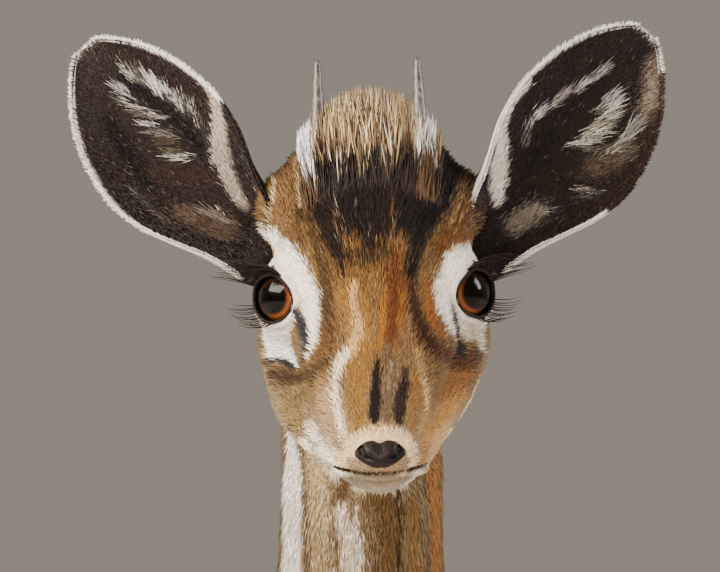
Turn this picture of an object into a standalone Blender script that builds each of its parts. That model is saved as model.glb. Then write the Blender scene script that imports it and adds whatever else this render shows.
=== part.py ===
"""Kirk's dik-dik, a dwarf antelope, standing still at life size and looking straight ahead.

The animal faces -Y, +Z is up and its left side is +X. The origin is on the floor, under the middle
of the bounding box. Sizes are written in millimetres, as on a taxidermist's measuring sheet, and
MM turns them to metres.

The flesh is lofted from measured stations, welded into one smooth body, and then parted with thin
cuts into head, jaw, neck, torso, tail and legs. Ears, horns, eyes, nose pad, hooves and dewclaws
are separate pieces, each seated on what it grows from.
"""

import math
import random

import bmesh
import bpy
import numpy as np
from mathutils import Matrix, Vector
from mathutils.bvhtree import BVHTree

MM = 0.001

# Driving sizes, in millimetres
GAP = 0.3               # clearance that pieces keep where they meet
EYE_HEIGHT = 470.0      # of the line between the eyes, above the floor
EYE_FORWARD = -197.0    # y of that line
HEAD_SIDE = 4.0         # the head is carried a little to the animal's left
HEAD_PITCH = 36.0       # degrees that the muzzle points down
HEAD_YAW = 0.6          # degrees that the muzzle turns to the animal's left
HEAD_ROLL = -1.5        # degrees that the head tips over towards its right ear
HOOF_TOP = 17.0         # height of the coronet, where horn meets skin
SHIFT = (-2.08, 10.1)   # x and y that bring the origin under the middle of the bounding box

# The welded flesh
VOXEL = 2.0
SLIVERS = (0.02, 0.01, 0.004, 0.001)    # edges shorter than this are closed up after a cut
FIRM_HEIGHT = 250.0     # below this the limbs are slender, and are smoothed less
SMOOTHING = 22          # rounds of smoothing
HEAD_TRIANGLES = 12000
JAW_TRIANGLES = 36000
BODY_TRIANGLES = 5200

CARRIAGE = (
    Matrix.Rotation(math.radians(HEAD_YAW), 4, "Z") @ Matrix.Rotation(math.radians(HEAD_ROLL), 4, "Y")
)
HEAD = (
    Matrix.Translation((HEAD_SIDE, EYE_FORWARD, EYE_HEIGHT))
    @ CARRIAGE
    @ Matrix.Rotation(math.radians(HEAD_PITCH), 4, "X")
)
BODY = Matrix.Identity(4)
SIDES = {"left": 1, "right": -1}

# Stations of a loft are (x, y, z, half width, half depth). The head's are in its own frame, with
# the muzzle along -Y and the middle between the eyes at its origin.
TORSO = (
    (0, -132, 306, 12, 20),
    (0, -123, 304, 27, 39),
    (0, -101, 300, 38, 58),
    (0, -68, 299, 44, 68),
    (0, -25, 300, 49, 68),
    (0, 20, 303, 53, 66),
    (0, 62, 309, 52, 65),
    (0, 100, 317, 47, 65),
    (0, 138, 323, 45, 67),
    (0, 168, 323, 40, 61),
    (0, 191, 318, 29, 46),
    (0, 204, 314, 13, 25),
)
NECK = (
    (0, -50, 314, 36, 52),
    (0, -80, 337, 33.5, 49),
    (0, -106, 366, 27.5, 40),
    (0.3, -124, 398, 23.7, 33.5),
    (1, -136, 430, 23.4, 30.5),
    (2.5, -146, 460, 23.5, 28.5),
    (4, -154, 485, 21, 26),
    (4, -163, 503, 15, 15),
)
CRANIUM = (
    (0, 60, 6, 9, 9),
    (0, 54, 7, 20, 18),
    (0, 38, 7, 28.5, 24.5),
    (0, 18, 6, 29.5, 25.5),
    (0, 0, 3.5, 27.5, 23.5),
    (0, -14, 0.5, 24.5, 19.5),
    (0, -28, -3, 20.5, 16),
    (0, -42, -6, 17, 13.5),
    (0, -54, -8, 15, 12),
    (0, -63, -9.5, 13, 10.5),
    (0, -69.5, -11, 6.5, 6),
)
MANDIBLE = (
    (0, 46, -11, 14, 12),
    (0, 33, -18, 24, 19),
    (0, 14, -22, 30.5, 19.5),
    (-0.3, -6, -23, 31, 18),
    (-1.2, -24, -21.5, 27.5, 14),
    (-0.8, -40, -21.5, 20.6, 9.5),
    (0, -52, -21.8, 14, 6.8),
    (0, -61, -21.8, 7, 4.2),
)
FORELEG = (
    (28, -78, 318, 15, 33),
    (36, -80, 284, 16, 33),
    (37.5, -70, 246, 14, 23),
    (36.5, -72, 214, 12, 16.5),
    (35, -79, 172, 9.3, 11.5),
    (34, -84, 146, 8.8, 9.8),
    (33.5, -86, 132, 9.6, 10.4),
    (33.5, -86, 115, 7.5, 8.2),
    (33.5, -87, 86, 6.8, 7.6),
    (33.5, -88, 61, 7.2, 8.2),
    (33.5, -89, 47, 9.0, 10.2),
    (33.5, -94, 33, 8.4, 8.8),
    (33.5, -99, 20, 10.3, 9.6),
    (33.5, -102, 11, 10.3, 9.6),
)
HINDLEG = (
    (22, 140, 334, 20, 46),
    (31, 140, 300, 24, 54),
    (37, 128, 264, 21, 45),
    (39, 117, 238, 17, 32),
    (38.5, 131, 212, 13.5, 22),
    (37, 153, 184, 10, 14.5),
    (35.5, 171, 160, 9.8, 13),
    (35, 176, 142, 8.8, 11),
    (34.5, 174, 122, 7.6, 9),
    (34, 170, 90, 7.0, 8),
    (33.5, 166, 62, 7.4, 8.6),
    (33.5, 164, 48, 9, 10.4),
    (33.5, 158, 33, 8.4, 9),
    (33.5, 153, 20, 10.3, 9.6),
    (33.5, 150, 11, 10.3, 9.6),
)
TAIL = (
    (0, 176, 352, 9, 10),
    (0, 196, 352, 9.5, 9),
    (0, 212, 342, 9, 7.5),
    (0, 223, 326, 8, 6.5),
    (0, 229, 309, 5.5, 4.5),
    (0, 231, 300, 2, 2),
)

# How far each foot stands ahead (-) or behind (+) its square place
STRIDE = {
    ("fore", "left"): -9.0,
    ("fore", "right"): 8.0,
    ("hind", "left"): 12.0,
    ("hind", "right"): -8.0,
}
LEG_ROWS = {"fore": FORELEG, "hind": HINDLEG}
STRIDE_FROM = 250.0     # height above which a stride moves nothing

# Rounded forms laid over the lofts: (centre, radii), the sideways ones mirrored
BODY_FORMS = (
    ((36, -84, 300), (13, 30, 46)),     # shoulder blade
    ((30, 148, 319), (20, 46, 53)),     # haunch
    ((35.5, 179, 170), (6, 8, 13)),     # point of the hock
    ((0, -122, 318), (17, 15, 24)),     # breast
)
EYE_CENTRE = (22.5, 0, 0.5)
EYE_RADIUS = 11.5
LID_RADIUS = 12.9
CORNEA_RADIUS = 7.4
CORNEA_RISE = 0.7
HEAD_FORMS = (
    (EYE_CENTRE, (LID_RADIUS, LID_RADIUS, LID_RADIUS)),
    ((20, 3, 13), (9, 13, 7)),          # brow
    ((24, 4, -16), (9, 20, 12)),        # cheek bone
    ((25.5, 33, 8), (8, 11, 12)),       # root of the ear
    ((8.5, -59, -12), (6.8, 8.5, 7)),   # upper lip
    ((0, -60, -5), (10, 9, 7)),         # bulb of the nose
)

# Where the flesh is parted: a point on the cut and the way towards the head
NECK_BASE_CUT = ((0, -92, 347), (0, -0.55, 0.835))
NECK_TOP_CUT = ((0, -141, 459), (0, -0.8, 0.6))
TAIL_CUT = ((0, 210, 345), (0, 1, 0))
# The line between the lips, and from their corner down behind the chin, as (y, z) in the head
MOUTH_LINE = (
    (-82, -10.8), (-68, -11.8), (-63, -13.2), (-58, -15.2), (-52, -17.2), (-46, -19), (-36, -21.6), (-31, -24),
    (-28, -29), (-27, -42),
)
MOUTH_GAP = 0.55
# Bounds of a limb's socket in the torso: (x, y, shoulder height), (radii), height of the dome
LIMB_SOCKETS = {
    "fore": ((46, -80, 246), (36, 43, 64)),
    "hind": ((47, 140, 254), (38, 73, 82)),
}

# The ear is a leaf that is curled into a cup: (share of the length, width, half angle of the curl)
EAR_ROWS = (
    (-0.2, 17, 118),
    (-0.08, 20.5, 112),
    (0.04, 26, 100),
    (0.16, 32.5, 84),
    (0.28, 38.5, 70),
    (0.40, 41.5, 59),
    (0.52, 41, 50),
    (0.66, 37, 42),
    (0.80, 29, 34),
    (0.91, 18, 26),
    (0.97, 9.5, 20),
    (1.0, 3.4, 14),
)
EAR_BASE = (36, 31, 21.5)       # from the middle between the eyes, before the head is tipped
EAR_TIP = (83.4, 38, 76)
EAR_FACING = (0.22, -0.97, -0.02)
EAR_THICK = 2.3
EAR_RIM = 1.3
EAR_OUTWARD_BOW = 2.6

HORN_ROOT = (15, 26, 27)
HORN_TIP = (14.6, 53.4, 47.6)
HORN_RADIUS = 3.7
HORN_TIP_RADIUS = 0.9
HORN_SUNK = 6.0         # how deep the horn is rooted
HORN_RING = 1.07        # how much thicker a growth ring is

EYE_OUTWARD = 46.0      # degrees from straight ahead to the eye's axis
LID_OPENING = (9.8, 7.6)
LID_TILT = 8.0

GLAND_PLACE = (-17.5, -9)       # (y, z) of the scent gland's slit, in the head
GLAND_RADII = (2.0, 6.5, 2.4)
GLAND_TILT = math.radians(-25)

NOSE_CENTRE = (0, -67.5, -5.4)
NOSE_RADII = (7.3, 4.6, 4.3)
NOSE_TAPER = 0.5        # how much narrower the pad is at its lowest point
# Each nostril is a comma of two hollows: (centre, radii), in the head
NOSTRILS = (
    ((4.0, -72, -4.4), (2.0, 4.6, 1.5)),
    ((5.7, -70.6, -3.3), (1.7, 4.4, 1.4)),
)

HOOF_LENGTH = 27.0
# Rings of a hoof: (height, share of the width, how far it lies back, share of the forward reach)
HOOF_ROWS = (
    (0, 1.0, 0.0, 1.15),
    (2.5, 1.02, 0.0, 1.1),
    (9.5, 0.97, 1.0, 0.86),
    (HOOF_TOP - GAP, 0.9, 2.0, 0.62),
)
HOOF_WIDTH = 9.6
HOOF_AHEAD = 0.58       # share of its length that lies ahead of the coronet's middle
TOE_GAP = 0.9
TOE_TURN = 0.6          # how far the points of the two toes lean together
DEWCLAW_PLACE = (4.4, 8.6, -4)      # from the fetlock's middle
DEWCLAW_RADII = (2.7, 3.0, 4.6)
DEWCLAW_TILT = math.radians(38)

# The crown's tuft, by rows from the brow back: (y in the head, length, how far it leans back)
CREST_ROWS = (
    (-3, 17, 0.52),
    (4, 21.5, 0.40),
    (10.5, 24, 0.32),
    (17, 25, 0.26),
    (24, 23.5, 0.22),
    (31, 20, 0.20),
    (38, 16.5, 0.22),
    (45, 13, 0.26),
)
CREST_COLUMNS = 7
CREST_SUNK = 2.6        # how deep under the skin a lock is rooted
CREST_HALF_WIDTH = 17.5
CREST_FAN = 0.017       # how much more a lock leans sideways for each millimetre off the middle
LOCK_WIDTH = (6.4, 8.0)
LOCK_THICKNESS = (2.0, 2.6)
LOCK_BEND = (-3.5, -1.5)


def clear_scene():
    for old in list(bpy.data.objects):
        bpy.data.objects.remove(old)


def coat(name, colour, roughness, metallic=0.0):
    material = bpy.data.materials.new(name)
    material.use_nodes = True
    shader = material.node_tree.nodes["Principled BSDF"]
    shader.inputs["Base Color"].default_value = (*colour, 1.0)
    shader.inputs["Roughness"].default_value = roughness
    shader.inputs["Metallic"].default_value = metallic
    material.diffuse_color = (*colour, 1.0)
    return material


def object_of(name, mesh):
    obj = bpy.data.objects.new(name, mesh)
    bpy.context.scene.collection.objects.link(obj)
    return obj


def object_from(name, points, faces):
    """A closed mesh from points in millimetres, with its faces turned outwards."""
    mesh = bpy.data.meshes.new(name)
    mesh.from_pydata([Vector(p) * MM for p in points], [], faces)
    shape = bmesh.new()
    shape.from_mesh(mesh)
    bmesh.ops.recalc_face_normals(shape, faces=shape.faces)
    if shape.calc_volume(signed=True) < 0:
        bmesh.ops.reverse_faces(shape, faces=shape.faces)
    shape.to_mesh(mesh)
    shape.free()
    return object_of(name, mesh)


def apply_modifiers(obj):
    graph = bpy.context.evaluated_depsgraph_get()
    mesh = bpy.data.meshes.new_from_object(obj.evaluated_get(graph))
    obj.modifiers.clear()
    old = obj.data
    obj.data = mesh
    bpy.data.meshes.remove(old)
    return obj


def discard(*objects):
    for obj in objects:
        bpy.data.objects.remove(obj)


def copy_of(obj, name):
    twin = obj.copy()
    twin.data = obj.data.copy()
    twin.name = name
    bpy.context.scene.collection.objects.link(twin)
    return twin


def boolean(target, cutter, operation):
    """Applies one Boolean to the target, and removes the cutter."""
    modifier = target.modifiers.new(operation, "BOOLEAN")
    modifier.operation = operation
    modifier.solver = "EXACT"
    modifier.object = cutter
    apply_modifiers(target)
    discard(cutter)
    return keep_largest(target)


def without_slivers(shape):
    """The mesh with its shortest edges closed up, as far as it stays one watertight surface."""
    for length in SLIVERS:
        trial = shape.copy()
        bmesh.ops.dissolve_degenerate(trial, edges=trial.edges, dist=length * MM)
        if all(edge.is_manifold for edge in trial.edges):
            shape.free()
            return trial
        trial.free()
    return shape


def keep_largest(obj):
    """Closes up slivers that a cut leaves, and drops every loose surface but the largest."""
    shape = bmesh.new()
    shape.from_mesh(obj.data)
    bmesh.ops.triangulate(shape, faces=shape.faces)
    shape = without_slivers(shape)
    shape.verts.ensure_lookup_table()
    shape.verts.index_update()
    island_of = {}
    islands = []
    for start in shape.verts:
        if start.index in island_of:
            continue
        found = []
        stack = [start]
        island_of[start.index] = len(islands)
        while stack:
            vert = stack.pop()
            found.append(vert)
            for edge in vert.link_edges:
                other = edge.other_vert(vert)
                if other.index not in island_of:
                    island_of[other.index] = len(islands)
                    stack.append(other)
        islands.append(found)
    if len(islands) > 1:
        volumes = [0.0] * len(islands)
        for face in shape.faces:
            corners = [vert.co for vert in face.verts]
            island = island_of[face.verts[0].index]
            for b, c in zip(corners[1:-1], corners[2:]):
                volumes[island] += corners[0].dot(b.cross(c)) / 6
        largest = max(range(len(islands)), key=lambda i: abs(volumes[i]))
        loose = [v for i, found in enumerate(islands) if i != largest for v in found]
        bmesh.ops.delete(shape, geom=loose, context="VERTS")
    shape.to_mesh(obj.data)
    shape.free()
    return obj


def inflated(obj, by):
    """A copy of a solid that stands off it by a clearance, in millimetres."""
    twin = copy_of(obj, obj.name + "_inflated")
    mesh = twin.data
    mesh.update()
    normals = [vert.normal.copy() for vert in mesh.vertices]
    for vert, normal in zip(mesh.vertices, normals):
        vert.co += normal * (by * MM)
    return twin


def smooth_rows(rows, count):
    """Rows of numbers read at even steps of length from a smooth curve through the given rows."""
    given = np.array(rows, float)
    steps = np.linalg.norm(np.diff(given[:, :3], axis=0), axis=1)
    at = np.concatenate([[0], np.cumsum(steps)])
    slopes = np.gradient(given, at, axis=0)
    wanted = np.linspace(0, at[-1], count)
    index = np.clip(np.searchsorted(at, wanted, side="right") - 1, 0, len(at) - 2)
    length = (at[index + 1] - at[index])[:, None]
    t = (wanted - at[index])[:, None] / length
    return (
        given[index] * (2 * t**3 - 3 * t**2 + 1)
        + given[index + 1] * (3 * t**2 - 2 * t**3)
        + slopes[index] * length * (t**3 - 2 * t**2 + t)
        + slopes[index + 1] * length * (t**3 - t**2)
    )


def ringed(name, rings):
    """A closed skin over rings of points, each ring capped at the ends."""
    sides = len(rings[0])
    points = [p for ring in rings for p in ring]
    faces = [tuple(range(sides)), tuple(range(len(points) - sides, len(points)))]
    for row in range(len(rings) - 1):
        for k in range(sides):
            a = row * sides + k
            b = row * sides + (k + 1) % sides
            faces.append((a, b, b + sides, a + sides))
    return object_from(name, points, faces)


def loft(name, rows, frame=BODY, step=4.0, sides=28):
    """A tube through stations, its rings square to the path and its width along X."""
    length = np.linalg.norm(np.diff(np.array(rows, float)[:, :3], axis=0), axis=1).sum()
    table = smooth_rows(rows, max(8, int(length / step)))
    centres = table[:, :3]
    tangents = np.gradient(centres, axis=0)
    rings = []
    for centre, tangent, (width, depth) in zip(centres, tangents, table[:, 3:]):
        along = Vector(tangent).normalized()
        across = (Vector((1, 0, 0)) - along * along.x).normalized()
        up = along.cross(across)
        ring = []
        for k in range(sides):
            angle = 2 * math.pi * k / sides
            offset = across * (width * math.cos(angle)) + up * (depth * math.sin(angle))
            ring.append(frame @ (Vector(centre) + offset))
        rings.append(ring)
    return ringed(name, rings)


def ellipsoid(name, centre, radii, frame=BODY, segments=28, rings=16):
    mesh = bpy.data.meshes.new(name)
    shape = bmesh.new()
    place = Matrix.Diagonal((MM, MM, MM, 1)) @ frame @ Matrix.Translation(centre)
    bmesh.ops.create_uvsphere(
        shape,
        u_segments=segments,
        v_segments=rings,
        radius=1,
        matrix=place @ Matrix.Diagonal((*radii, 1)),
    )
    shape.to_mesh(mesh)
    shape.free()
    return object_of(name, mesh)


def mirrored(centre, side):
    return (centre[0] * side, centre[1], centre[2])


def both_sides(forms):
    """Each form once if it lies on the middle plane, else on both sides."""
    for centre, radii in forms:
        for side in (1, -1) if centre[0] else (1,):
            yield mirrored(centre, side), radii


def leg_rows(pair, side_name):
    """The stations of one leg, its foot moved along by the stride."""
    side = SIDES[side_name]
    stride = STRIDE[pair, side_name]
    rows = []
    for x, y, z, width, depth in LEG_ROWS[pair]:
        share = min(1.0, max(0.0, (STRIDE_FROM - z) / (STRIDE_FROM - HOOF_TOP)))
        rows.append((x * side, y + stride * share, z, width, depth))
    return rows


def joined(name, pieces):
    """One mesh that holds all the pieces, which are removed."""
    shape = bmesh.new()
    for piece in pieces:
        shape.from_mesh(piece.data)
    mesh = bpy.data.meshes.new(name)
    shape.to_mesh(mesh)
    shape.free()
    discard(*pieces)
    return object_of(name, mesh)


def softness(point):
    """How much the welded flesh is smoothed at a point in metres: less on limbs and head."""
    height = point.z / MM
    trunk = min(1.0, max(0.12, (height - FIRM_HEIGHT + 30) / 60))
    from_eyes = (HEAD.inverted() @ (point / MM)).y
    face = min(1.0, max(0.0, (from_eyes - 10) / 60))
    if height > NECK_TOP_CUT[0][2] - 60 and point.y / MM < NECK_TOP_CUT[0][1] + 30:
        return 0.3 + 0.5 * face
    return trunk


def welded_flesh():
    """Every fleshy form as one closed, smooth surface."""
    pieces = [
        loft("torso_core", TORSO),
        loft("neck_core", NECK),
        loft("tail_core", TAIL, sides=20),
        loft("cranium", CRANIUM, HEAD),
        loft("mandible", MANDIBLE, HEAD),
    ]
    for pair, side_name in STRIDE:
        pieces.append(loft("limb", leg_rows(pair, side_name), sides=24))
    pieces += [ellipsoid("form", c, r) for c, r in both_sides(BODY_FORMS)]
    pieces += [ellipsoid("form", c, r, HEAD) for c, r in both_sides(HEAD_FORMS)]
    flesh = joined("flesh", pieces)
    remesh = flesh.modifiers.new("weld", "REMESH")
    remesh.mode = "VOXEL"
    remesh.voxel_size = VOXEL * MM
    remesh.adaptivity = 0
    apply_modifiers(flesh)
    group = flesh.vertex_groups.new(name="softness")
    for vert in flesh.data.vertices:
        group.add([vert.index], softness(vert.co), "REPLACE")
    smooth = flesh.modifiers.new("smooth", "SMOOTH")
    smooth.factor = 0.5
    smooth.iterations = SMOOTHING
    smooth.vertex_group = group.name
    apply_modifiers(flesh)
    return keep_largest(flesh)


def thinned(flesh, name, triangles):
    """A copy of the flesh in about that many triangles, finest where it curves most."""
    twin = copy_of(flesh, name)
    reduce = twin.modifiers.new("reduce", "DECIMATE")
    reduce.ratio = triangles / (2 * len(flesh.data.polygons))
    return apply_modifiers(twin)


def block(name, cut, towards_head, gap=GAP):
    """A large block on one side of a cut, its face half the gap back from it."""
    point, normal = cut
    normal = Vector(normal).normalized() * (1 if towards_head else -1)
    size = 900.0
    centre = Vector(point) + normal * (size / 2 + gap / 2)
    turn = normal.to_track_quat("Z", "Y").to_matrix().to_4x4()
    mesh = bpy.data.meshes.new(name)
    shape = bmesh.new()
    place = Matrix.Diagonal((MM, MM, MM, 1)) @ Matrix.Translation(centre) @ turn
    bmesh.ops.create_cube(shape, size=size, matrix=place)
    shape.to_mesh(mesh)
    shape.free()
    return object_of(name, mesh)


def jaw_block(name, lift):
    """The space under the line of the mouth, its upper face moved by lift."""
    width = 60.0
    outline = [(y, z + lift) for y, z in MOUTH_LINE]
    outline += [(MOUTH_LINE[-1][0], -90), (MOUTH_LINE[0][0], -90)]
    rings = [[HEAD @ Vector((x, y, z)) for y, z in outline] for x in (-width, width)]
    return ringed(name, rings)


def limb_socket(name, pair, side_name, grow=0.0):
    """The bullet-shaped bounds of a limb: an upright oval that ends in a dome."""
    (x, y, z), (rx, ry, rz) = LIMB_SOCKETS[pair]
    side = SIDES[side_name]
    rings = []
    low = -20.0
    heights = [low, z] + [z + rz * math.sin(math.radians(a)) for a in (32, 60)]
    for height in heights:
        share = math.sqrt(max(0.0, 1 - (max(0.0, height - z) / rz) ** 2))
        ring = []
        for k in range(18):
            angle = 2 * math.pi * k / 18
            ring.append((
                x * side + (rx * share + grow) * math.cos(angle),
                y + (ry * share + grow) * math.sin(angle),
                height + (grow if height > z else 0),
            ))
        rings.append(ring)
    return ringed(name, rings)


def part_body(flesh):
    """The neck, torso, tail and legs, parted from the welded flesh."""
    body = thinned(flesh, "body", BODY_TRIANGLES)
    boolean(body, block("cut", NECK_TOP_CUT, towards_head=False), "INTERSECT")
    neck = copy_of(body, "neck")
    boolean(neck, block("cut", NECK_BASE_CUT, towards_head=True), "INTERSECT")
    boolean(body, block("cut", NECK_BASE_CUT, towards_head=False), "INTERSECT")
    tail = copy_of(body, "tail")
    boolean(tail, block("cut", TAIL_CUT, towards_head=True), "INTERSECT")
    boolean(body, block("cut", TAIL_CUT, towards_head=False), "INTERSECT")
    nodes = {"neck": neck, "tail": tail}
    floor_cut = ((0, 0, HOOF_TOP), (0, 0, 1))
    for pair, side_name in STRIDE:
        name = f"{pair}leg_{side_name}"
        leg = copy_of(body, name)
        boolean(leg, limb_socket("socket", pair, side_name, -GAP / 2), "INTERSECT")
        boolean(leg, block("cut", floor_cut, towards_head=True, gap=2 * GAP), "INTERSECT")
        nodes[name] = leg
    for pair, side_name in STRIDE:
        boolean(body, limb_socket("socket", pair, side_name, GAP / 2), "DIFFERENCE")
    body.name = "torso"
    nodes["torso"] = body
    return nodes


def eye_frame(side):
    """The eye's own frame in the world: +Z along its axis, +X along the slit of the lids."""
    centre = HEAD @ Vector(mirrored(EYE_CENTRE, side))
    away = math.radians(EYE_OUTWARD)
    axis = CARRIAGE @ Vector((side * math.sin(away), -math.cos(away), 0.03))
    up = Vector((0, 0, 1))
    across = up.cross(axis).normalized()
    upright = axis.cross(across).normalized()
    turn = Matrix((across, upright, axis.normalized())).transposed().to_4x4()
    tilt = Matrix.Rotation(math.radians(LID_TILT * side), 4, "Z")
    return Matrix.Translation(centre) @ turn @ tilt


def lid_cutter(side):
    """The almond between the lids, widening outwards from inside the eyeball."""
    frame = eye_frame(side)
    half_length, half_height = LID_OPENING
    rings = []
    for distance, share in ((6.0, 0.9), (10.5, 1.0), (17.0, 1.35)):
        ring = []
        for k in range(24):
            angle = 2 * math.pi * k / 24
            point = (
                half_length * share * math.cos(angle),
                half_height * share * math.sin(angle) * (1 - 0.12 * abs(math.cos(angle))),
                distance,
            )
            ring.append(frame @ Vector(point))
        rings.append(ring)
    return ringed("lid_cutter", rings)


def eyeball(name, side):
    """A ball with the clear cornea standing a little proud of it."""
    frame = eye_frame(side)
    ball = ellipsoid(name, (0, 0, 0), (EYE_RADIUS,) * 3, frame, segments=20, rings=13)
    inverse = (Matrix.Diagonal((MM, MM, MM, 1)) @ frame).inverted()
    forward = Matrix.Diagonal((MM, MM, MM, 1)) @ frame
    for vert in ball.data.vertices:
        local = inverse @ vert.co
        off_axis = math.hypot(local.x, local.y)
        if local.z > 0 and off_axis < CORNEA_RADIUS:
            local.z += CORNEA_RISE * (math.cos(math.pi * off_axis / CORNEA_RADIUS) + 1) / 2
            vert.co = forward @ local
    return ball


def ear_frame(side):
    """The ear's root, and its directions along, across and the way the cup opens."""
    middle = HEAD @ Vector((0, 0, 0))
    root = middle + CARRIAGE @ Vector(mirrored(EAR_BASE, side))
    tip = middle + CARRIAGE @ Vector(mirrored(EAR_TIP, side))
    along = (tip - root).normalized()
    facing = CARRIAGE @ Vector(mirrored(EAR_FACING, side))
    facing = (facing - along * facing.dot(along)).normalized()
    across = along.cross(facing) * side
    return root, (tip - root).length, along, across, facing


def ear(name, side, rows=24, columns=11):
    """A cupped leaf of gristle and skin, rounded off at its rim."""
    root, length, along, across, facing = ear_frame(side)
    table = smooth_rows([(s * length, 0, 0, w, c) for s, w, c in EAR_ROWS], rows)
    inner = []
    outer = []
    for at, _, _, width, curl in table:
        bend = math.radians(curl)
        radius = width / 2 / math.sin(bend)
        share = at / length
        bow = EAR_OUTWARD_BOW * math.sin(math.pi * min(1, max(0, share)))
        hub = root + along * at + across * bow + facing * radius
        for k in range(columns):
            t = 2 * k / (columns - 1) - 1
            ray = across * math.sin(t * bend) - facing * math.cos(t * bend)
            thick = EAR_RIM + (EAR_THICK - EAR_RIM) * (1 - t * t) * (1 - 0.35 * max(0, share))
            inner.append(hub + ray * radius)
            outer.append(hub + ray * (radius + thick))
    points = inner + outer
    back = len(inner)
    faces = []
    for i in range(rows - 1):
        for k in range(columns - 1):
            a = i * columns + k
            b, c, d = a + 1, a + columns + 1, a + columns
            faces += [(a, b, c), (a, c, d)]
            faces += [(back + a, back + c, back + b), (back + a, back + d, back + c)]
        for k in (0, columns - 1):
            a = i * columns + k
            faces.append((a, a + columns, back + a + columns, back + a))
    for i in (0, rows - 1):
        for k in range(columns - 1):
            a = i * columns + k
            faces.append((a, a + 1, back + a + 1, back + a))
    return object_from(name, points, faces)


def lock(name, root, along, flat, length, width, thick, bend, steps=3):
    """A flat tapered lock of hair that leaves its root along a direction and bends over."""
    along = Vector(along).normalized()
    flat = Vector(flat)
    flat = (flat - along * flat.dot(along)).normalized()
    across = along.cross(flat)
    points = []
    for i in range(steps + 1):
        share = i / (steps + 1)
        centre = root + along * (length * share) + flat * (bend * share * share)
        full = min(1.0, 0.4 + 2.4 * share) * (1 - share) ** 0.7
        for u, v in ((1, 0), (0, 1), (-1, 0), (0, -1)):
            points.append(centre + across * (u * width / 2 * full) + flat * (v * thick / 2 * full))
    points.append(root + along * length + flat * bend)
    faces = [(0, 3, 2, 1)]
    for i in range(steps):
        for k in range(4):
            a = 4 * i + k
            b = 4 * i + (k + 1) % 4
            faces.append((a, b, b + 4, a + 4))
    tip = len(points) - 1
    faces += [(4 * steps + k, 4 * steps + (k + 1) % 4, tip) for k in range(4)]
    return object_from(name, points, faces)


def tree_of(obj):
    shape = bmesh.new()
    shape.from_mesh(obj.data)
    tree = BVHTree.FromBMesh(shape)
    shape.free()
    return tree


def on_skin(tree, start, direction):
    """Where a line from outside first meets a solid: (point, normal), in millimetres."""
    point, normal, _, _ = tree.ray_cast(Vector(start) * MM, Vector(direction))
    return (point / MM, normal) if point else (None, None)


def crest_locks(head):
    """The crown's tuft: overlapping locks that stand up between the horns and fan out."""
    random.seed(11)
    tree = tree_of(head)
    turn = HEAD.to_3x3()
    locks = []
    for i, (back, length, lean) in enumerate(CREST_ROWS):
        for k in range(CREST_COLUMNS):
            share = 2 * (k + 0.5 * (i % 2)) / (CREST_COLUMNS - 0.5) - 1
            across = share * CREST_HALF_WIDTH + random.uniform(-0.8, 0.8)
            start = HEAD @ Vector((across, back + random.uniform(-1.2, 1.2), 80))
            point, normal = on_skin(tree, start, turn @ Vector((0, 0, -1)))
            if point is None:
                continue
            rise = (CARRIAGE @ Vector((across * CREST_FAN, lean, 1.0))).normalized()
            tall = length * (1 - 0.22 * share * share) * random.uniform(0.9, 1.1)
            sunk = CREST_SUNK / max(0.35, rise.dot(normal))
            locks.append(lock(
                "lock", point - rise * sunk, rise, normal, tall + sunk,
                random.uniform(*LOCK_WIDTH), random.uniform(*LOCK_THICKNESS), random.uniform(*LOCK_BEND),
            ))
    return locks


def fuse(target, pieces):
    """Joins locks to the node that they grow from, as one closed body."""
    group = bpy.data.collections.new("locks")
    bpy.context.scene.collection.children.link(group)
    for piece in pieces:
        bpy.context.scene.collection.objects.unlink(piece)
        group.objects.link(piece)
    modifier = target.modifiers.new("fuse", "BOOLEAN")
    modifier.operation = "UNION"
    modifier.operand_type = "COLLECTION"
    modifier.collection = group
    modifier.solver = "EXACT"
    apply_modifiers(target)
    discard(*pieces)
    bpy.data.collections.remove(group)
    return keep_largest(target)


def horn(name, side):
    """A short straight spike, ringed over its lower half."""
    base = HEAD @ Vector(mirrored(HORN_ROOT, side))
    tip = HEAD @ Vector(mirrored(HORN_TIP, side))
    along = (tip - base).normalized()
    across = along.cross(Vector((0, 1, 0))).normalized()
    up = along.cross(across)
    length = (tip - base).length
    rings = []
    steps = 18
    for i in range(steps + 1):
        at = -HORN_SUNK + (length + HORN_SUNK) * i / steps
        share = max(0.0, at / length)
        radius = HORN_RADIUS + (HORN_TIP_RADIUS - HORN_RADIUS) * share**0.85
        if 0.02 < share < 0.5 and i % 2:
            radius *= HORN_RING
        if i == steps:
            radius *= 0.5
        centre = base + along * at
        rings.append([
            centre + across * (radius * math.cos(2 * math.pi * k / 9))
            + up * (radius * math.sin(2 * math.pi * k / 9))
            for k in range(9)
        ])
    return ringed(name, rings)


def seated(piece, host):
    """The piece with all that lies inside its host cut away, a clearance off the host's skin."""
    return boolean(piece, inflated(host, GAP), "DIFFERENCE")


def hoof(name, pair, side_name, toe):
    """One of the two pointed toes of a cloven foot, flat under its whole length."""
    x, y = leg_rows(pair, side_name)[-2][:2]
    rings = []
    for height, share, back, front in HOOF_ROWS:
        ring = []
        for k in range(14):
            angle = 2 * math.pi * k / 14
            forward = math.cos(angle)
            ahead = max(0.0, forward)
            reach = HOOF_LENGTH * (HOOF_AHEAD * front if ahead else (1 - HOOF_AHEAD) * 0.88)
            bulge = math.copysign(abs(math.sin(angle)) ** 0.8, math.sin(angle))
            width = HOOF_WIDTH / 2 * share * bulge * (1 - 0.5 * ahead**1.6)
            middle = x + toe * (TOE_GAP / 2 + HOOF_WIDTH / 2 - TOE_TURN * ahead)
            ring.append((middle + width, y - reach * forward + back - 2.5, height))
        rings.append(ring)
    return ringed(name, rings)


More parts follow.
